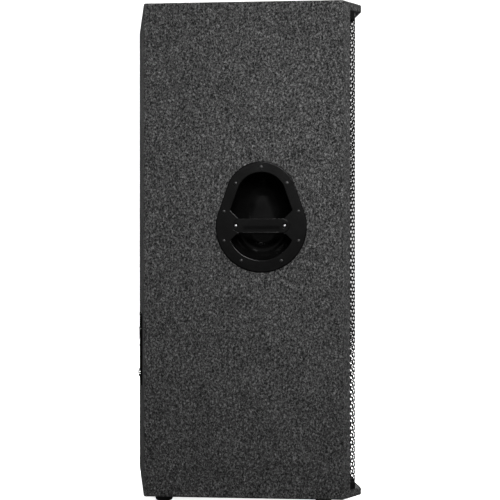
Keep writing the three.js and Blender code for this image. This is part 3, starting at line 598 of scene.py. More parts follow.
def circuit_material():
    """Green solder mask over a web of copper tracks."""
    material, tree, shader = new_material("circuit_board")
    where = object_place(tree, (90, 90, 90))
    tracks = add(tree, "TexVoronoi", {"Vector": where, "Scale": 1.0, "Randomness": 0.7},
                 feature="DISTANCE_TO_EDGE", voronoi_dimensions="3D").outputs["Distance"]
    track = spread(tree, tracks, 1.0, 0.0, 0.05, 0.09)
    stain = cloud(tree, object_place(tree), 15, 3.0).outputs["Fac"]
    mixed = weighted(tree, (track, 0.6), (stain, 0.4))
    feed(tree, shader, Base_Color=ramp(tree, mixed, [(0.1, (0.01, 0.05, 0.02)), (0.8, (0.04, 0.17, 0.07))]),
         Roughness=spread(tree, stain, 0.3, 0.5), Coat_Weight=0.3)
    relief(tree, shader, track, 0.06)
    return material


# Name: dark and light, grain in mm, roughness, depth in mm, metallic, broad pattern in mm, stretch.
MOTTLED = {
    "black_painted_wood": (grey(0.008), grey(0.017), 2.2, (0.5, 0.7), 0.25),
    "cast_frame": (grey(0.010), grey(0.020), 1.0, (0.4, 0.6), 0.12, 0.3),
    "cone_paper": (grey(0.012), grey(0.030), 2.4, (0.7, 0.9), 0.22, 0.0, 25),
    "coil_aluminium": (grey(0.5), grey(0.68, 0.03), 0.8, (0.25, 0.4), 0.03, 0.95, 20, (1, 0.1, 1)),
    "ferrite": (grey(0.02), grey(0.045), 0.7, (0.5, 0.75), 0.08, 0.1),
    "plated_steel": (grey(0.32), grey(0.52, 0.04), 1.4, (0.22, 0.38), 0.03, 0.95, 18),
    "plated_black": (grey(0.012), grey(0.022), 0.8, (0.3, 0.42), 0.02, 0.6),
    "horn_plastic": (grey(0.009), grey(0.015), 0.9, (0.38, 0.5), 0.05),
    "diaphragm_titanium": (grey(0.42), grey(0.6), 1.0, (0.25, 0.35), 0.02, 0.95),
    "port_plastic": (grey(0.008), grey(0.014), 0.8, (0.4, 0.55), 0.06),
    "nickel": (grey(0.45), grey(0.62), 0.8, (0.15, 0.3), 0.02, 1.0, 10),
    "capacitor_sleeve": ((0.22, 0.03, 0.02), (0.34, 0.06, 0.04), 1.5, (0.3, 0.4), 0.02),
    "foot_rubber": (grey(0.010), grey(0.022), 0.9, (0.7, 0.9), 0.1),
    "cable_sleeve": (grey(0.010), grey(0.020), 0.8, (0.45, 0.6), 0.04),
    "wadding": ((0.45, 0.44, 0.40), (0.75, 0.74, 0.70), 3.5, (0.9, 1.0), 1.2, 0.0, 15),
}
# As above, for surfaces that mirror less than usual: the mirror level comes first.
DULLED = {
    # Near-black foam for the handle gasket, whose rim stands in for the shadow line round the flange.
    "shadow_line_foam": (0.05, grey(0.001), grey(0.003), 0.8, (0.8, 0.95), 0.2),
    "grille_steel": (0.12, grey(0.003), grey(0.006), 0.5, (0.42, 0.55), 0.04, 0.0, 40),
    "connector_plate_steel": (0.02, grey(0.003), grey(0.006), 0.6, (0.6, 0.75), 0.06),
    "socket_plastic": (0.2, grey(0.004), grey(0.008), 0.6, (0.35, 0.5), 0.03),
}
MATERIALS = {
    "carpet": carpet_material(),
    "plywood": plywood_material(),
    "surround_cloth": woven_material("surround_cloth", grey(0.006), grey(0.018), 1.2, (0.55, 0.8)),
    "spider_cloth": woven_material("spider_cloth", (0.22, 0.10, 0.03), (0.46, 0.27, 0.10), 1.0, (0.7, 0.9)),
    "handle_plastic": handle_material(),
    "circuit_board": circuit_material(),
    "copper": winding_material(),
}
for slot, look in MOTTLED.items():
    MATERIALS[slot] = mottled(slot, *look)
for slot, (mirror, *look) in DULLED.items():
    MATERIALS[slot] = mottled(slot, *look, Specular_IOR_Level=mirror)

# Finishes that the record doesn't name, each with the nearest slot that it names; make() looks each up but
# keeps nothing of it.
RECORD_SLOT = {"plated_black": "grille_steel", "shadow_line_foam": "foot_rubber"}


# ---------------------------------------------------------------- pieces

def make(name, shape, slot, matrix=None, body="root", stands_for=(), crease=32):
    """A named piece of the object from a shape, in the slot's material, riding on a body.

    It replaces the CAD nodes that it stands for. Edges bent by more than the crease angle stay sharp.
    """
    mesh = mesh_of(placed(shape, matrix) if matrix else shape, name)
    mesh.materials.append(MATERIALS[slot])
    mesh.shade_smooth()
    mesh.set_sharp_from_angle(angle=math.radians(crease))
    piece = bpy.data.objects.new(name, mesh)
    bpy.context.scene.collection.objects.link(piece)
    flat = piece.modifiers.new("flat faces stay flat", "WEIGHTED_NORMAL")
    flat.keep_sharp = True
    RECORD_SLOT.get(slot, slot)
    if body:
        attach(piece, body)
    if stands_for:
        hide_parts(*stands_for)
    return piece


@lru_cache
def screw(radius, height, hexagonal=False):
    """A domed screw head with a cross or six-sided recess, standing on z = 0."""
    dome = [(0, 0), (radius, 0), (radius, height * 0.35)]
    dome += [(radius * math.cos(a), height * (0.35 + 0.65 * math.sin(a)))
             for a in np.radians([15, 30, 45, 60, 75])]
    head = turned(dome + [(0, height)], 32)
    depth = height * 0.75
    if hexagonal:
        return without(head, prism(circle(0, 0, radius * 0.5, 6), height - depth, 2 * height))
    half, reach = radius * 0.11, radius * 0.55
    outline = rectangle(-reach, -half, reach, half)
    ends = ((0.6, height - depth), (1, height * 1.1))
    arm = lofted([[(x * share, y * share, z) for x, y in outline] for share, z in ends])
    for turn in (0, 90):
        head = without(head, spun(arm, turn))
    return head


def screws(places, radius, height, level, hexagonal=False):
    """Screw heads at (x, y) places on a level, each turned its own way."""
    head = screw(radius, height, hexagonal)
    return join(*(shifted(spun(head, 37 * i + 20), x, y, level) for i, (x, y) in enumerate(places)))


# ---------------------------------------------------------------- carpet

def hidden_by_wood():
    """A test for carpet faces that lie against the woodwork."""
    trees = []
    for node in ("top_panel", "bottom_panel", "rear_panel", "side_panel_left", "side_panel_right"):
        mesh = frame["nodes"][node].data
        points = [v.co for v in mesh.vertices]
        trees.append(BVHTree.FromPolygons(points, [list(p.vertices) for p in mesh.polygons]))
    reach = 1.0 * MM

    def hidden(face):
        start = face.calc_center_median() + face.normal * 0.01 * MM
        return any(tree.ray_cast(start, face.normal, reach)[0] is not None for tree in trees)
    return hidden


def sliced(shape, faces, axis, spacing):
    """Cuts faces into strips of about the spacing along an axis, and returns the strips."""
    direction = Vector((0, 0, 0))
    direction[axis] = 1
    levels = [v.co[axis] for f in faces for v in f.verts]
    low, high = min(levels), max(levels)
    count = max(1, round((high - low) / (spacing * MM)))
    done, rest = [], list(faces)
    for i in range(1, count):
        level = low + (high - low) * i / count
        geometry = dict.fromkeys(item for f in rest for item in (f, *f.edges, *f.verts))
        cut = bmesh.ops.bisect_plane(shape, geom=list(geometry), dist=1e-7,
                                     plane_co=direction * level, plane_no=direction)
        rest = []
        for item in cut["geom"]:
            if isinstance(item, bmesh.types.BMFace):
                (rest if item.calc_center_median()[axis] > level else done).append(item)
    return done + rest


def carpet():
    """The felt as one fine, slightly uneven skin over the cabinet, lips included."""
    shape = bmesh.new()
    shape.from_mesh(frame["nodes"]["carpet_cover"].data)
    bmesh.ops.remove_doubles(shape, verts=shape.verts, dist=1e-6)
    shape.normal_update()
    hidden = hidden_by_wood()
    mark = shape.faces.layers.int.new("outside")
    for face in shape.faces:
        face[mark] = 0 if hidden(face) else 1
    edges = [e for e in shape.edges if all(f[mark] for f in e.link_faces)]
    verts = [v for v in shape.verts if all(f[mark] for f in v.link_faces)]
    bmesh.ops.dissolve_limit(shape, angle_limit=math.radians(0.5), verts=verts, edges=edges,
                             delimit={"MATERIAL"})
    for axis, facing in ((2, 0.99), (1, 0.8), (0, 0.7)):
        across = [f for f in shape.faces if f[mark] and abs(f.normal[axis]) < facing]
        sliced(shape, across, axis, CARPET_STEP)
    shape.normal_update()
    free = [v for v in shape.verts if all(f[mark] for f in v.link_faces)]
    for vert in free:
        spot = vert.co / MM
        fluff = noise.noise(spot / 9) * 0.25 + noise.noise(spot / 40 + Vector((7, 3, 5))) * 0.2
        vert.co += vert.normal * (fluff - 0.1) * MM
    return taken(shape)


make("carpet", carpet(), "carpet", stands_for=["carpet_cover"], crease=50)


# ---------------------------------------------------------------- grille

def side_x(y, inset=0.0):
    """Half the cabinet's width at y, an inset inside the carpet's face."""
    slope = (SHOULDER.x - REAR.x) / (REAR.y - SHOULDER.y)
    return REAR.x + (REAR.y - y) * slope - inset * math.hypot(1, slope)


def bevel_x(y):
    """Half the cabinet's width at y, on the bevel in front of the shoulder."""
    return SHOULDER.x + (LIP.x - SHOULDER.x) * (y - SHOULDER.y) / (LIP.y - SHOULDER.y)


def grille_section():
    """The sheet's plan from its middle to the end of its hidden flange, with the bends rounded."""
    flange_y = highest("grille").y
    behind_side_board = 21.0
    return np.array(rounded([
        (0, GRILLE_FRONT_Y),
        (bevel_x(GRILLE_FRONT_Y), GRILLE_FRONT_Y),
        (bevel_x(GRILLE_SIDE_Y), GRILLE_SIDE_Y),
        (side_x(flange_y, behind_side_board), flange_y),
    ], GRILLE_BEND_RADIUS, 10, closed=False))


def hole_cells(first_z, rows, last_hole):
    """Six-sided cells round staggered holes, laid flat: points, triangles and the cells' own corners."""
    across = HOLE_PITCH / 2
    up = HOLE_PITCH / math.sqrt(3) / 2
    points, faces, known = [], [], {}

    def corner(column, level):
        key = (column, level)
        if key not in known:
            known[key] = len(points)
            points.append((column * across, first_z + level * up))
        return known[key]

    reach = math.ceil(last_hole / across) + 1
    for row in range(rows):
        for column in range(-reach, reach + 1):
            x = column * across
            if (column + row) % 2 == 0 or abs(x) > last_hole:
                continue
            level = 3 * row
            hole = list(range(len(points), len(points) + 12))
            points.extend(arc(x, first_z + level * up, HOLE_RADIUS, 30, 390, 12)[:-1])
            cell = [corner(column + i, level + j)
                    for i, j in ((1, 1), (0, 2), (-1, 1), (-1, -1), (0, -2), (1, -1))]
            for k in range(6):
                a, b = cell[k], cell[(k + 1) % 6]
                first, second, third = (hole[(2 * k + i) % 12] for i in range(3))
                faces.extend([[a, b, second], [a, second, first], [b, third, second]])
    return points, faces, set(known.values())


def perforated_sheet(bottom, top, half_length, cuts):
    """The whole sheet laid flat: holes, blank margins, and a cut across it at each step of its bends."""
    row_height = HOLE_PITCH * math.sqrt(3) / 2
    rows = math.floor((top - bottom - 2 * HOLE_MARGIN) / row_height) + 1
    points, faces, corners = hole_cells(bottom + HOLE_MARGIN, rows, LAST_HOLE)
    flat = bmesh.new()
    verts = [flat.verts.new((*point, 0)) for point in points]
    for face in faces:
        flat.faces.new([verts[i] for i in face])
    cell_corners = {verts[i] for i in corners}
    edges = [e for e in flat.edges if e.is_boundary and cell_corners.issuperset(e.verts)]
    ends = [flat.verts.new((s, z, 0)) for s, z in
            ((-half_length, bottom), (half_length, bottom), (half_length, top), (-half_length, top))]
    edges += [flat.edges.new((ends[k - 1], ends[k])) for k in range(4)]
    bmesh.ops.triangle_fill(flat, edges=edges, use_beauty=True, normal=(0, 0, 1))
    for level in [*(-cuts), *cuts]:
        bmesh.ops.bisect_plane(flat, geom=[*flat.verts, *flat.edges, *flat.faces], dist=1e-5,
                               plane_co=(level, 0, 0), plane_no=(1, 0, 0))
    for face in flat.faces:
        face.normal_update()
        if face.normal.z < 0:
            face.normal_flip()
    return flat


def grille():
    """The bent sheet as a closed skin: its two faces, the walls of its holes and its edges."""
    section = grille_section()
    distance = np.concatenate([[0], np.cumsum(np.linalg.norm(np.diff(section, axis=0), axis=1))])
    along = np.gradient(section, distance, axis=0)
    normal = np.stack([along[:, 1], -along[:, 0]], 1) / np.linalg.norm(along, axis=1)[:, None]
    flat = perforated_sheet(lowest("grille").z, highest("grille").z, distance[-1], distance[1:-1])
    spots = np.array([v.co[:2] for v in flat.verts])
    walls = []
    flat.verts.index_update()
    for edge in flat.edges:
        if edge.is_boundary:
            loop = edge.link_loops[0]
            walls.append((loop.vert.index, loop.link_loop_next.vert.index))
    sheet = taken(flat)[1]
    side = np.where(spots[:, 0] < 0, -1, 1)
    reach = np.abs(spots[:, 0])
    centre = np.stack([np.interp(reach, distance, section[:, k]) for k in (0, 1)], 1)
    out = np.stack([np.interp(reach, distance, normal[:, k]) for k in (0, 1)], 1)
    points = []
    for depth in (0, GRILLE_SHEET):
        plan = centre - out * depth
        points.extend(zip(side * plan[:, 0] * MM, plan[:, 1] * MM, spots[:, 1] * MM))
    count = len(spots)
    behind = [[count + i for i in face[::-1]] for face in sheet]
    return points, sheet + behind + [[b, a, a + count, b + count] for a, b in walls]


def grille_screws():
    """Pan-head screws through the blank margins into the two battens."""
    heads = []
    for batten in ("grille_batten_top", "grille_batten_bottom"):
        level = middle(batten).z
        for x in (-165, -55, 55, 165):
            spot = place((x, GRILLE_FRONT_Y, level), (1, 0, 0), (0, 0, 1), (0, -1, 0))
            heads.append(placed(spun(screw(4.5, 2.6), x), spot))
    return join(*heads)


make("perforated_grille", grille(), "grille_steel", stands_for=["grille"], crease=25)
make("grille_screws", grille_screws(), "plated_black")


# ---------------------------------------------------------------- handles

def pear(inset, steps=96):
    """The handle's outline, an inset inside its flange: a wide low arc, two straights and a top arc."""
    low, high = HANDLE_LOW_RADIUS - inset, HANDLE_TOP_RADIUS - inset
    slant = math.degrees(HANDLE_SIDE_ANGLE)
    reach = (low - HANDLE_TOP_CENTRE * math.sin(HANDLE_SIDE_ANGLE)) / high
    start = slant + math.degrees(math.acos(min(1, reach)))
    lower = arc(0, 0, low, 180 - slant, 360 + slant, steps * 5 // 8)
    upper = arc(0, HANDLE_TOP_CENTRE, high, start, 180 - start, steps * 3 // 8)
    return lower + upper


def handle_opening():
    """The hole through the flange and the roundness of its edge: two wings reach in to carry the bar."""
    wing_bottom, wing_middle, wing_top = -16.5, 19.5, 37.2
    top_radius = HANDLE_TOP_RADIUS - HANDLE_OPENING_INSET
    reach = (HANDLE_LOW_RADIUS - HANDLE_OPENING_INSET - HANDLE_TOP_CENTRE * math.sin(HANDLE_SIDE_ANGLE))
    top_start = math.degrees(HANDLE_SIDE_ANGLE + math.acos(reach / top_radius))
    slot = arc(BAR_END_CENTRE, BAR_CENTRE, BAR_HALF_WIDTH + 0.4, -78, 76, 20)
    right = [(55, wing_bottom, 2), (50.4, wing_bottom, 0.6), *unrounded(slot), (69.5, wing_top, 2.5)]
    top = unrounded(arc(0, HANDLE_TOP_CENTRE, top_radius, top_start, 180 - top_start, 40))
    left = [(-x, y, r) for x, y, r in reversed(right)]
    low_corner = math.radians(203.7)
    low = unrounded(arc(0, 0, HANDLE_LOWER_OPENING, 205.7, 334.6, 48))
    x, y = HANDLE_LOWER_OPENING * math.cos(low_corner), HANDLE_LOWER_OPENING * math.sin(low_corner)
    outline = rounded([*right, *top, *left, (x, y, 2.0), *low, (-x, y, 2.0)], 0, 5)
    softness = [0.5 if wing_bottom - 0.5 < y < wing_middle else HANDLE_LIP for x, y in outline]
    smoothings = 6
    for _ in range(smoothings):
        softness = [(softness[i - 1] + softness[i] + softness[(i + 1) % len(softness)]) / 3
                    for i in range(len(softness))]
    return outline, softness


def dish():
    """The cup behind the opening: straight walls, then an elliptical curve to a small flat floor."""
    wall, straight, rounding, depth = 2.5, 20, 50, 74
    mouth = HANDLE_FLANGE[0] + 0.2
    loops = []
    for skin, order in ((wall, -1), (0, 1)):
        rings = [(0, mouth), (0, -straight * 0.5), (0, -straight)]
        for angle in np.linspace(0, math.pi / 2, 14)[1:]:
            inset = rounding * (1 - math.cos(angle))
            rings.append((inset, -straight - (depth - straight) * math.sin(angle)))
        inner = []
        for inset, z in rings:
            outline = pear(HANDLE_DISH_INSET + inset - skin)
            inner.append([(x, y, z - (skin if z < -straight else 0)) for x, y in outline])
        loops.extend(inner[::order])
    return lofted(loops)


def handle_ledges():
    """Shelves behind the wings that the ends of the bar are screwed to."""
    low, high = BAR_CENTRE - BAR_HALF_WIDTH, BAR_CENTRE + BAR_HALF_WIDTH
    right = block((43, low, -12), (78, high, -3), 1.0)
    return join(right, spun(shifted(right, y=-2 * BAR_CENTRE), 180))


def handle_shell():
    """The cup as one moulding: flange, dish and ledges."""
    opening, softness = handle_opening()
    flange = plate(pear(0), [opening], *HANDLE_FLANGE, 1.0, [softness], 5)
    return join(flange, dish(), handle_ledges())


def rounded_off(inside, radius):
    """How far a rounded edge has dropped, at a distance inside its outline."""
    short = max(0.0, radius - inside)
    return radius - math.sqrt(max(0, radius ** 2 - short ** 2))


def bar():
    """The grip: flat screwed ends, and between them a deeper bar, hollowed along its lower front."""
    rows, columns = 34, 120
    front, end_back, grip_back = HANDLE_FLANGE[1], -2.7, -18
    front_edge, back_edge, hollow_depth = 0.6, 7.0, 0.3
    end = BAR_END_CENTRE + BAR_HALF_WIDTH
    grid = []
    for i in range(1, columns):
        x = -end * math.cos(math.pi * i / columns)
        beyond = max(0.0, abs(x) - BAR_END_CENTRE)
        half = math.sqrt(BAR_HALF_WIDTH ** 2 - beyond ** 2)
        grip = 1 - smooth((abs(x) - 38) / 7)
        fronts, backs = [], []
        for k in range(rows + 1):
            across = math.cos(math.pi * k / rows)
            y = half * across
            fillet = rounded_off(BAR_HALF_WIDTH - math.hypot(beyond, y), front_edge)
            belly = rounded_off(BAR_HALF_WIDTH - abs(y), back_edge)
            hollow = hollow_depth * smooth((1.5 - y) / 11) * smooth((y + BAR_HALF_WIDTH) / 2.2)
            back = end_back * (1 - grip) + (grip_back + belly) * grip
            fronts.append((x, BAR_CENTRE + y, front - fillet - hollow * grip))
            backs.append((x, BAR_CENTRE + y, back))
        grid.append(fronts + backs[::-1])
    body = lofted(grid)
    for spot in BAR_SCREWS:
        recess = [[(x, y, z) for x, y in circle(*spot, radius)]
                  for radius, z in ((6.6, BAR_SCREW_LEVEL), (7.0, front + 1))]
        body = without(body, lofted(recess))
    return body


BAR_SCREWS = [(BAR_SCREW_SHIFT + side * BAR_SCREW_X, BAR_CENTRE) for side in (-1, 1)]
HALF_FLANGE_SCREWS = [(57.8, 98), (83.8, 34.5), (83.9, -31.4), (45.2, -76.1)]
FLANGE_SCREWS = [(0, 134.5), *HALF_FLANGE_SCREWS, *((-x, y) for x, y in HALF_FLANGE_SCREWS[::-1])]


def handle(side, name):
    """One recessed handle, with its gasket, grip and screws. The gasket is a real seal, made near black and
    wider than the flange so that its rim is a painted shadow line.
    """
    where = on_side(side, name)
    make(f"handle_shell_{name}", handle_shell(), "handle_plastic", where, stands_for=[f"handle_cup_{name}"])
    # A seal under the flange, near black and wider than it: its rim paints the shadow line round the flange.
    shadow_line_gasket = plate(pear(-1.4), [pear(4)], 0.1, 1.6, 0.4, 0.2)
    make(f"handle_shadow_line_gasket_{name}", shadow_line_gasket, "shadow_line_foam", where)
    make(f"handle_grip_{name}", bar(), "handle_plastic", where, stands_for=[f"handle_bar_{name}"])
    heads = screws(FLANGE_SCREWS, 4.0, 1.5, HANDLE_FLANGE[1] - 0.1)
    make(f"handle_flange_screws_{name}", heads, "plated_black", where)
    heads = screws(BAR_SCREWS, 3.3, 2.2, BAR_SCREW_LEVEL - 0.05)
    make(f"handle_bar_screws_{name}", heads, "plated_steel", where)


handle(-1, "left")
handle(1, "right")


# ---------------------------------------------------------------- woofers

# Profiles are (radius, distance forward of the baffle's face).

def basket():
    """The cast frame: a front ring with a gasket land, a tapering basket and six windows."""
    profile = rounded([
        (170, 6.5), (170, -10), (104, -90, 2), (104, -92, 0.5), (86, -92), (86, -110), (52, -110),
        (52, -115), (90, -115, 3), (90, -97), (110, -92, 4), (174, -12, 4), (174, 0.3), (194, 0.3, 0.4),
        (194, 9.5, 1.6), (185, 9.5, 0.8), (185, 6.5, 0.6),
    ], 1.0, 3)
    frame_shape = turned(profile)
    outline = rounded([(104, -32), (178, -60), (178, 60), (104, 32)], 8, 4)
    for i in range(6):
        frame_shape = without(frame_shape, spun(prism(outline, -78, -24), 60 * i))
    return frame_shape


def cone_front(radius):
    """The paper's front face, slightly curved, with shallow stiffening ribs."""
    share = (radius - 38.5) / 111.5
    rib = 0.35 * math.sin((radius - 84) / 6 * math.pi) if 84 < radius < 132 else 0
    return -60 + 66.5 * share ** 1.076 + rib


def paper_cone():
    """A skin of even thickness behind the front face."""
    radii = np.linspace(38.5, 150, 90)
    front = [(r, cone_front(r)) for r in radii]
    return turned(front + [(r, z - 1.8) for r, z in front[::-1]])


def dome(rim, rise, level, skin, steps=16):
    """A dust cap: a thin shell of a sphere with an open back."""
    radius = (rim ** 2 + rise ** 2) / (2 * rise)
    centre = level + rise - radius
    shells = []
    for size in (radius, radius - skin):
        edge = math.asin((level - centre) / size)
        angles = np.linspace(edge, math.pi / 2, steps)
        shells.append([(size * math.cos(a), centre + size * math.sin(a)) for a in angles])
        shells[-1][-1] = (0, centre + size)
    return turned(shells[1][::-1] + shells[0])


def roll():
    """The surround: a half roll of doped cloth with a glue tab each side."""
    base, skin, centre, radius = 6.8, 1.0, 159, 9
    top = base + skin
    low = [(143, base), (149, base), *arc(centre, base, radius - skin, 180, 0, 20), (169, base), (182, base)]
    high = [(182, top), (169.4, top), *arc(centre, top, radius, 0, 180, 20), (148.6, top), (143, top)]
    return turned(low + high)


def spider():
    """The cloth disc that centres the coil, with five even folds."""
    radii = np.concatenate([[38.7, 41], np.linspace(44, 83, 66), [87, 100]])
    top = []
    for r in radii:
        fold = math.cos((r - 48) / 31 * 4 * math.pi) if 44 < r < 83 else 0
        fade = smooth((r - 43) / 4) * smooth((84 - r) / 4)
        top.append((r, -90.7 - 2.3 * fold * fade))
    return turned(top + [(r, z - 1) for r, z in top[::-1]])


def bend_between(piece):
    """Bakes a cloth piece's placement into its points."""
    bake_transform(piece)


def woofer(name):
    """One driver, with its frame and magnet fixed and its cone, cap and coil on the sliding body."""
    body = f"cone_assembly_{name}"
    centre = middle(f"woofer_cone_{name}")
    where = facing_front(centre.x, centre.z)
    make(f"basket_{name}", basket(), "cast_frame", where, stands_for=[f"woofer_frame_{name}"])
    bolt_circle = arc(0, 0, 189.6, 22.5, 382.5, 8)[:-1]
    make(f"basket_screws_{name}", screws(bolt_circle, 3.6, 2.6, 9.4, True), "plated_black", where)
    make(f"paper_cone_{name}", paper_cone(), "cone_paper", where, body, [f"woofer_cone_{name}"])
    make(f"dome_cap_{name}", dome(52, 16, -52.2, 1), "cone_paper", where, body, [f"dust_cap_{name}"])
    former = turned(rounded(rectangle(37.2, -58, 38.2, -128), 0.2, 2))
    make(f"coil_former_{name}", former, "coil_aluminium", where, body, [f"voice_coil_{name}"])
    winding = [(38.25, -112), *[(38.6 + 0.4 * (i % 2), -112 - 0.5 * i) for i in range(33)], (38.25, -128)]
    make(f"coil_winding_{name}", turned(winding), "copper", where, body)
    cloth = make(f"roll_surround_{name}", roll(), "surround_cloth", where, None, [f"surround_{name}"], 60)
    hub = Vector((centre.x, lowest("front_baffle").y, centre.z)) * MM
    bend_between(cloth)
    cloth = make(f"centring_cloth_{name}", spider(), "spider_cloth", where, None, [f"spider_{name}"], 60)
    bend_between(cloth)
    make(f"front_plate_{name}", ring(39.8, 75, -123.3, -115.3), "plated_steel", where,
         stands_for=[f"woofer_top_plate_{name}"])
    make(f"magnet_ring_{name}", ring(48, 85, -145.6, -123.6, 1.2), "ferrite", where,
         stands_for=[f"woofer_magnet_{name}"])
    pole = [(12, -156, 2), (75, -156, 1.5), (75, -146), (36.4, -146), (36.4, -115.3), (12, -115.3, 2)]
    make(f"pole_plate_{name}", turned(rounded(pole, 0.6)), "plated_steel", where,
         stands_for=[f"woofer_back_plate_{name}"])


woofer("lower")
woofer("upper")


# ---------------------------------------------------------------- horn, driver and ports

def horn_loop(depth, margin, count=ROUND):
    """One section of the flare, between a circle at the throat and nearly a rectangle at the mouth."""
    opening = min(1.0, max(0.0, (depth + HORN_LENGTH) / HORN_LENGTH))
    half_width = THROAT + (110 - THROAT) * opening ** 1.5 + margin
    half_height = THROAT + (90 - THROAT) * opening ** 1.2 + margin
    power = 2 + 6 * opening
    loop = []
    for a in np.linspace(0, 2 * math.pi, count, endpoint=False):
        x, z = math.cos(a), math.sin(a)
        size = (abs(x / half_width) ** power + abs(z / half_height) ** power) ** (-1 / power)
        loop.append((x * size, z * size))
    return loop


def horn():
    """The flare with its mounting plate and the round flange at its throat."""
    mouth = 5.3
    levels = np.linspace(-HORN_LENGTH, mouth - 1.5, 26)
    sections = [(z, z, 3.5) for z in levels if z < 1.5]
    sections += [(1.6, 0, 3.5), (mouth - 0.1, mouth, 1.6), (mouth - 0.4, mouth, 0.9)]
    sections += [(z, z, 0) for z in levels[::-1]]
    loops = [[(*point, z) for point in horn_loop(share, margin)] for z, share, margin in sections]
    flare = lofted(loops, closed=True)
    outline = rounded(rectangle(-130, -108, 130, 108), 8, 6)
    mount = plate(outline, [horn_loop(0, 1.4)], 0.3, mouth, 1.5, 0.4)
    flange = ring(THROAT + 1.5, 47, -HORN_LENGTH, -HORN_LENGTH + 6, 1)
    return join(flare, mount, flange)


def titanium_dome():
    """The diaphragm: a thin dome behind a short collar and a flat edge."""
    rim, rise, skin, level = 22.3, 11, 0.6, -169.1
    radius = (rim ** 2 + rise ** 2) / (2 * rise)
    centre = level - rise + radius
    edge = -math.degrees(math.acos(rim / radius))
    inner = arc(0, centre, radius, -90, edge, 14)
    outer = arc(0, centre - skin, radius, edge, -90, 14)
    inner[0] = (0, inner[0][1])
    outer[-1] = (0, outer[-1][1])
    collar = [(22.3, -163.9), (22.9, -163.9), (22.9, -168.5), (31, -168.5), (31, -169.1), (22.9, -169.1)]
    return turned(inner + collar + outer)


def horn_and_driver():
    centre = middle("horn_flare")
    where = facing_front(centre.x, centre.z)
    make("horn", horn(), "horn_plastic", where, stands_for=["horn_flare"])
    corners = [(x, y) for x in (-120, 0, 120) for y in (-98, 98)]
    make("horn_screws", screws(corners, 4.2, 2.6, 5.2), "plated_black", where)
    pole = [(THROAT, -130.3), (47, -130.3, 1), (47, -139.3, 0.6), (21.5, -139.3), (21.5, -168.3), (7, -168.3)]
    make("driver_pole", turned(rounded(pole, 0.5)), "plated_steel", where, stands_for=["driver_pole_plate"])
    make("driver_magnet_ring", ring(26, 47, -161.6, -139.6, 1), "ferrite", where,
         stands_for=["driver_magnet"])
    make("driver_front_plate", ring(23.6, 45, -167.9, -161.9), "plated_steel", where,
         stands_for=["driver_top_plate"])
    make("driver_dome", titanium_dome(), "diaphragm_titanium", where, "diaphragm", ["driver_diaphragm"])
    cover = rounded([(0, -196, 0), (38, -196, 4), (45, -190, 3), (45, -168.2, 0.5), (42, -168.2, 0.5),
                     (42, -189, 2), (37, -193.5, 2), (0, -193.5, 0)], 1)
    make("driver_cap", turned(cover), "socket_plastic", where, stands_for=["driver_cover"])


def port(name):
    """A tube whose mouth flares round into a narrow flange."""
    centre = middle(name)
    flared = [(29.5, -100, 0.8), (32, -100, 0.8), (32, 0.3, 0.1), (36, 0.3, 0.3), (36, 3.3, 1.2),
              (31.8, 3.3, 3), (29.5, -3, 6)]
    make(f"{name}_tube", turned(rounded(flared, 1, 6)), "port_plastic", facing_front(centre.x, centre.z),
         stands_for=[name])


horn_and_driver()
port("port_left")
port("port_right")


# ---------------------------------------------------------------- rear connectors

def twist_lock():
    """A square flange with a round mouth, a keyed post inside it and two fixing holes."""
    front = PLATE_LEVELS[1] + 0.3
    outline = rounded(rectangle(-13, -15.5, 13, 15.5), 3, 5)
    flange = plate(outline, [circle(0, 0, 10.2)], front, front + 1.2, 0.5, 0.4)
    wall = rounded(rectangle(9.8, -27, 11.8, front + 0.8), 0.3, 2)
    floor_disc = turned(rectangle(0, -28, 11.8, -26), SMALL_ROUND)
    post = rounded([(0, -26.5, 0), (5, -26.5, 0.2), (5, front - 0.6, 1), (0, front - 0.6, 0)], 0.5)
    keys = []
    for angle, width in ((90, 2.2), (205, 1.4), (335, 1.4)):
        key = shifted(block((-width / 2, -1, -26), (width / 2, 1, front - 0.4), 0.3), y=9.4)
        keys.append(spun(key, angle - 90))
    return join(flange, turned(wall, SMALL_ROUND), floor_disc, turned(post, SMALL_ROUND), *keys)


def jack():
    """The jack's body behind the plate and the threaded bush through it."""
    body = block((-8, -8, -28), (8, 8, -0.3), 1.2)
    thread = [(4.7 - 0.25 * (i % 2), -1 + 0.4 * i) for i in range(18)]
    bush = turned([(3.2, -1), *thread, (4.2, 6.5), (3.4, 6.5), (3.2, 6.2)], SMALL_ROUND)
    well = turned(rectangle(0, -24, 3.3, 1), SMALL_ROUND)
    return join(without(body, well), bush)


def jack_nut():
    """A knurled ring nut."""
    back = PLATE_LEVELS[1] + 0.3
    points, faces = turned(rounded([(5, back), (7.25, back, 0.4), (7.25, 7, 0.6), (5, 7, 0.5)], 0.3, 3), 72)
    knurled = []
    for i, (x, y, z) in enumerate(points):
        radius = math.hypot(x, y)
        shrink = 1 - 0.25 / radius if radius > 6.9 and (i % 72) % 2 else 1
        knurled.append((x * shrink, y * shrink, z))
    return knurled, faces


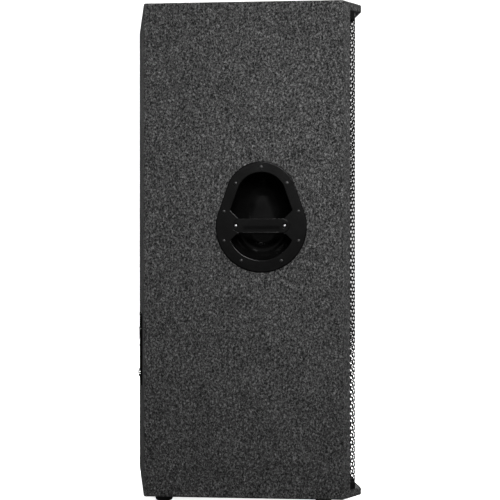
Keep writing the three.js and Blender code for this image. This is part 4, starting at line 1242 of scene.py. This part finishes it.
def rear_connectors():
    """The plate with its screws, and two sockets of each kind."""
    where = facing_rear(0, middle("connector_plate").z)
    size = highest("connector_plate") - lowest("connector_plate")
    half_width, half_height = size.x / 2, size.z / 2
    lock_x, lock_z = (middle("twist_lock_socket_right") - middle("connector_plate")).xz
    jack_x, jack_z = (middle("jack_socket_right") - middle("connector_plate")).xz
    outline = rounded(rectangle(-half_width, -half_height, half_width, half_height), 8, 6)
    holes = [circle(side * lock_x, lock_z, 12.2) for side in (-1, 1)]
    holes += [circle(side * jack_x, jack_z, 5) for side in (-1, 1)]
    make("rear_plate", plate(outline, holes, *PLATE_LEVELS, 0.6, 0.2), "connector_plate_steel", where,
         stands_for=["connector_plate"])
    corners = [(x, y) for x in (-57, 57) for y in (-77, 0, 77)]
    make("rear_plate_screws", screws(corners, 3.6, 0.9, PLATE_LEVELS[1] - 0.05), "plated_black", where)
    for name in ("left", "right"):
        socket = middle(f"twist_lock_socket_{name}")
        where = facing_rear(socket.x, socket.z)
        make(f"twist_lock_{name}", twist_lock(), "socket_plastic", where,
             stands_for=[f"twist_lock_socket_{name}"])
        fixings = screws([(-9.5, 12), (9.5, -12)], 1.9, 0.8, PLATE_LEVELS[1] + 1.45)
        make(f"twist_lock_screws_{name}", fixings, "plated_steel", where)
        socket = middle(f"jack_socket_{name}")
        where = facing_rear(socket.x, socket.z)
        make(f"jack_{name}", jack(), "socket_plastic", where, stands_for=[f"jack_socket_{name}"])
        make(f"jack_ring_nut_{name}", jack_nut(), "nickel", where, stands_for=[f"jack_nut_{name}"])


rear_connectors()


# ---------------------------------------------------------------- feet

def foot():
    """A rubber foot: straight sides, a well rounded lower edge and a recess for its screw."""
    height = highest("foot_rear_left").z
    return turned(rounded([
        (0, 8, 0), (5.5, 8, 0.5), (6, 0.0, 1.0), (20, 0, 6), (20, height, 0.8), (0, height, 0),
    ], 1, 6), 64)


for corner_name in ("rear_left", "rear_right", "front_left", "front_right"):
    spot = middle(f"foot_{corner_name}")
    make(f"rubber_foot_{corner_name}", foot(), "foot_rubber", upright(spot.x, spot.y),
         stands_for=[f"foot_{corner_name}"])
    head = placed(screw(4.5, 2.4), Matrix.Translation((0, 0, 8)) @ Matrix.Rotation(math.pi, 4, "X"))
    make(f"foot_screw_{corner_name}", head, "plated_steel", upright(spot.x, spot.y))


# ---------------------------------------------------------------- inside

def padded(node, sag):
    """A pad of wadding: a fine box whose faces swell and dimple, flat only where it is stapled on."""
    low, high = lowest(node), highest(node)
    size = high - low
    counts = [max(4, round(length / 7)) for length in size]
    shape = bmesh.new()
    bmesh.ops.create_cube(shape, size=1)
    shape.transform(Matrix.Translation((low + high) / 2) @ Matrix.Diagonal((*size, 1)))
    for axis, count in enumerate(counts):
        for level in np.linspace(low[axis], high[axis], count + 1)[1:-1]:
            direction = Vector([float(axis == k) for k in range(3)])
            bmesh.ops.bisect_plane(shape, geom=[*shape.verts, *shape.edges, *shape.faces],
                                   plane_co=direction * level, plane_no=direction, dist=1e-4)
    centre = (low + high) / 2
    for vert in shape.verts:
        share = Vector([(vert.co[k] - centre[k]) / (size[k] / 2) for k in range(3)])
        lift = noise.noise(vert.co / 26) * 1.6 + noise.noise(vert.co / 9) * 0.7
        rim = max(abs(share.x), abs(share.z))
        pinch = smooth((rim - 0.72) / 0.28)
        if share.y < 0.9:
            vert.co.y += (sag * pinch + 1.2 + lift) * (1 - share.y) / 2
        vert.co.x -= math.copysign(1, share.x) * (1.6 + lift) * smooth((abs(share.x) - 0.7) / 0.3)
        vert.co.z -= math.copysign(1, share.z) * (1.6 + lift) * smooth((abs(share.z) - 0.7) / 0.3)
    bmesh.ops.recalc_face_normals(shape, faces=shape.faces)
    return in_metres(taken(shape))


def wiring():
    """The cable trunk up the rear, with a branch to each driver."""
    low = lowest("wiring_harness")
    trunk_x, trunk_y = 80, REAR.y - 17.25 - 62
    baffle = lowest("front_baffle").y
    runs = [tube([(trunk_x, trunk_y, z) for z in (low.z, 450, 650, 950)], 4.5)]
    branches = (("woofer_cone_lower", 300, 60, 160, 20), ("woofer_cone_upper", 690, 60, 160, 20),
                ("horn_flare", 930, 30, 200, 0))
    for node, z, end_x, depth, lift in branches:
        end = (end_x, baffle + depth, middle(node).z + lift)
        runs.append(tube([(trunk_x, trunk_y, z), (trunk_x - 4, trunk_y - 40, z + 6),
                          ((trunk_x + end_x) / 2, (trunk_y + end[1]) / 2, end[2]), end], 3))
    return in_metres(join(*runs))


def coil(node):
    """An air-core inductor: a bobbin with two cheeks and a winding between them."""
    low, high = lowest(node), highest(node)
    centre = (low + high) / 2
    radius = (high.x - low.x) / 2
    where = place((centre.x, high.y, centre.z), (1, 0, 0), (0, 0, 1), (0, -1, 0))
    length = high.y - low.y
    winding = rounded(rectangle(10, 2.2, radius, length - 2.2), 1.5, 4)
    make(f"{node}_winding", turned(winding, 64), "copper", where, stands_for=[node])
    bobbin = turned(rounded([(8, 0), (radius - 1, 0), (radius - 1, 2), (9.8, 2), (9.8, length - 2),
                             (radius - 1, length - 2), (radius - 1, length), (8, length)], 0.5, 2), 64)
    make(f"{node}_bobbin", bobbin, "socket_plastic", where)


def capacitor():
    """A lying can with a rolled groove near one end."""
    low, high = lowest("capacitor"), highest("capacitor")
    radius, length = (high.z - low.z) / 2, high.x - low.x
    centre = (low + high) / 2
    where = place((low.x, centre.y, centre.z), (0, 1, 0), (0, 0, 1), (1, 0, 0))
    can = turned(rounded([(0, 0, 0), (radius - 1.5, 0), (radius - 1.5, 0.8), (radius, 1.2), (radius, 4),
                          (radius - 0.6, 5), (radius, 6), (radius, length), (0, length, 0)], 0.8, 4), 64)
    make("capacitor_can", can, "capacitor_sleeve", where, stands_for=["capacitor"])


coil("inductor_large")
coil("inductor_small")
capacitor()
make("wiring_loom", wiring(), "cable_sleeve", stands_for=["wiring_harness"], crease=60)
for level in ("lower", "upper"):
    make(f"wadding_pad_{level}", padded(f"damping_pad_{level}", 7), "wadding",
         stands_for=[f"damping_pad_{level}"], crease=80)


# ---------------------------------------------------------------- woodwork and the rest of the CAD

def finish_cad_nodes():
    """Gives each CAD node that stays its material, and eases its edges."""
    slots = {part["node"]: part["material_slot"] for part in frame["record"]["subparts"]}
    for name, node in frame["nodes"].items():
        node.data.materials.clear()
        node.data.materials.append(MATERIALS[slots[name]])
        if not node.hide_render:
            eased = node.modifiers.new("eased edges", "BEVEL")
            eased.width = 0.8 * MM
            eased.segments = 2
            eased.limit_method = "ANGLE"
            eased.angle_limit = math.radians(40)


finish_cad_nodes()


# ---------------------------------------------------------------- stage, light and camera

def studio_floor():
    """A pale floor, bright to the camera, that throws little light back up at the cabinet."""
    material, tree, shader = new_material("studio_floor")
    seen = add(tree, "LightPath").outputs["Is Camera Ray"]
    speck = cloud(tree, object_place(tree), 40, 2.0).outputs["Fac"]
    shade = spread(tree, speck, 1.95, 2.05)
    level = add(tree, "Mix", {"Factor": seen, "A": 0.06, "B": shade}).outputs["Result"]
    tone = add(tree, "CombineColor", {"Red": level, "Green": level, "Blue": level}).outputs["Color"]
    matt = add(tree, "BsdfDiffuse", {"Color": tone}).outputs["BSDF"]
    glow = add(tree, "Emission", {"Strength": maths(tree, "MULTIPLY", seen, 0.88)}).outputs["Emission"]
    both = add(tree, "AddShader", {0: matt, 1: glow}).outputs["Shader"]
    tree.links.new(both, tree.nodes["Material Output"].inputs["Surface"])
    tree.nodes.remove(shader)
    corners = [(x * FLOOR_REACH, y * FLOOR_REACH, 0) for x, y in ((-1, -1), (1, -1), (1, 1), (-1, 1))]
    mesh = mesh_of((corners, [(0, 1, 2, 3)]), "studio_floor")
    mesh.materials.append(material)
    floor = bpy.data.objects.new("studio_floor", mesh)
    bpy.context.scene.collection.objects.link(floor)


def studio_world():
    """A white backdrop for the camera and a dim, even light for everything else."""
    world = bpy.data.worlds.new("studio")
    world.use_nodes = True
    tree = world.node_tree
    background = tree.nodes["Background"]
    seen = add(tree, "LightPath").outputs["Is Camera Ray"]
    level = spread(tree, seen, AMBIENT_LIGHT, BACKDROP_LIGHT, 0, 1)
    tree.links.new(level, background.inputs["Strength"])
    background.inputs["Color"].default_value = (1, 1, 1, 1)
    bpy.context.scene.world = world


def softbox(name, spot, target, size, power, spread_angle=180):
    """A rectangular soft light, its size given as width and height."""
    lamp = bpy.data.lights.new(name, "AREA")
    lamp.shape = "RECTANGLE"
    lamp.size, lamp.size_y = size
    lamp.energy = power
    lamp.spread = math.radians(spread_angle)
    holder = bpy.data.objects.new(name, lamp)
    holder.location = spot
    holder.rotation_euler = (Vector(target) - Vector(spot)).to_track_quat("-Z", "Y").to_euler()
    bpy.context.scene.collection.objects.link(holder)


def studio_camera():
    """A long lens, level with the middle of the cabinet and nearly square to its tapered side."""
    lens = bpy.data.cameras.new("camera")
    lens.sensor_width = 36
    lens.lens = CAMERA_LENS
    lens.shift_x, lens.shift_y = CAMERA_SHIFT
    camera = bpy.data.objects.new("camera", lens)
    camera.location = CAMERA_PLACE
    camera.rotation_euler = Vector(CAMERA_LOOK).to_track_quat("-Z", "Y").to_euler()
    bpy.context.scene.collection.objects.link(camera)
    bpy.context.scene.camera = camera


studio_floor()
studio_world()
softbox("overhead_front", (-0.75, -0.55, 2.9), (-0.1, -0.2, 0.5), (1.0, 1.0), 12)
softbox("front_fill", (2.4, -2.6, 1.3), (0, -0.2, 0.55), (1.2, 1.6), 125)
softbox("left_key", (-2.2, -0.04, 1.64), (-0.2, -0.12, 0.75), (0.9, 1.0), 8.1, 60)
softbox("right_key", (2.2, -0.04, 1.64), (0.2, -0.12, 0.75), (0.9, 1.0), 6.5, 60)
softbox("rear_fill", (0.9, 2.2, 1.8), (0, 0.2, 0.7), (1.5, 1.5), 4.5)
studio_camera()
bpy.context.scene.view_settings.view_transform = "Standard"
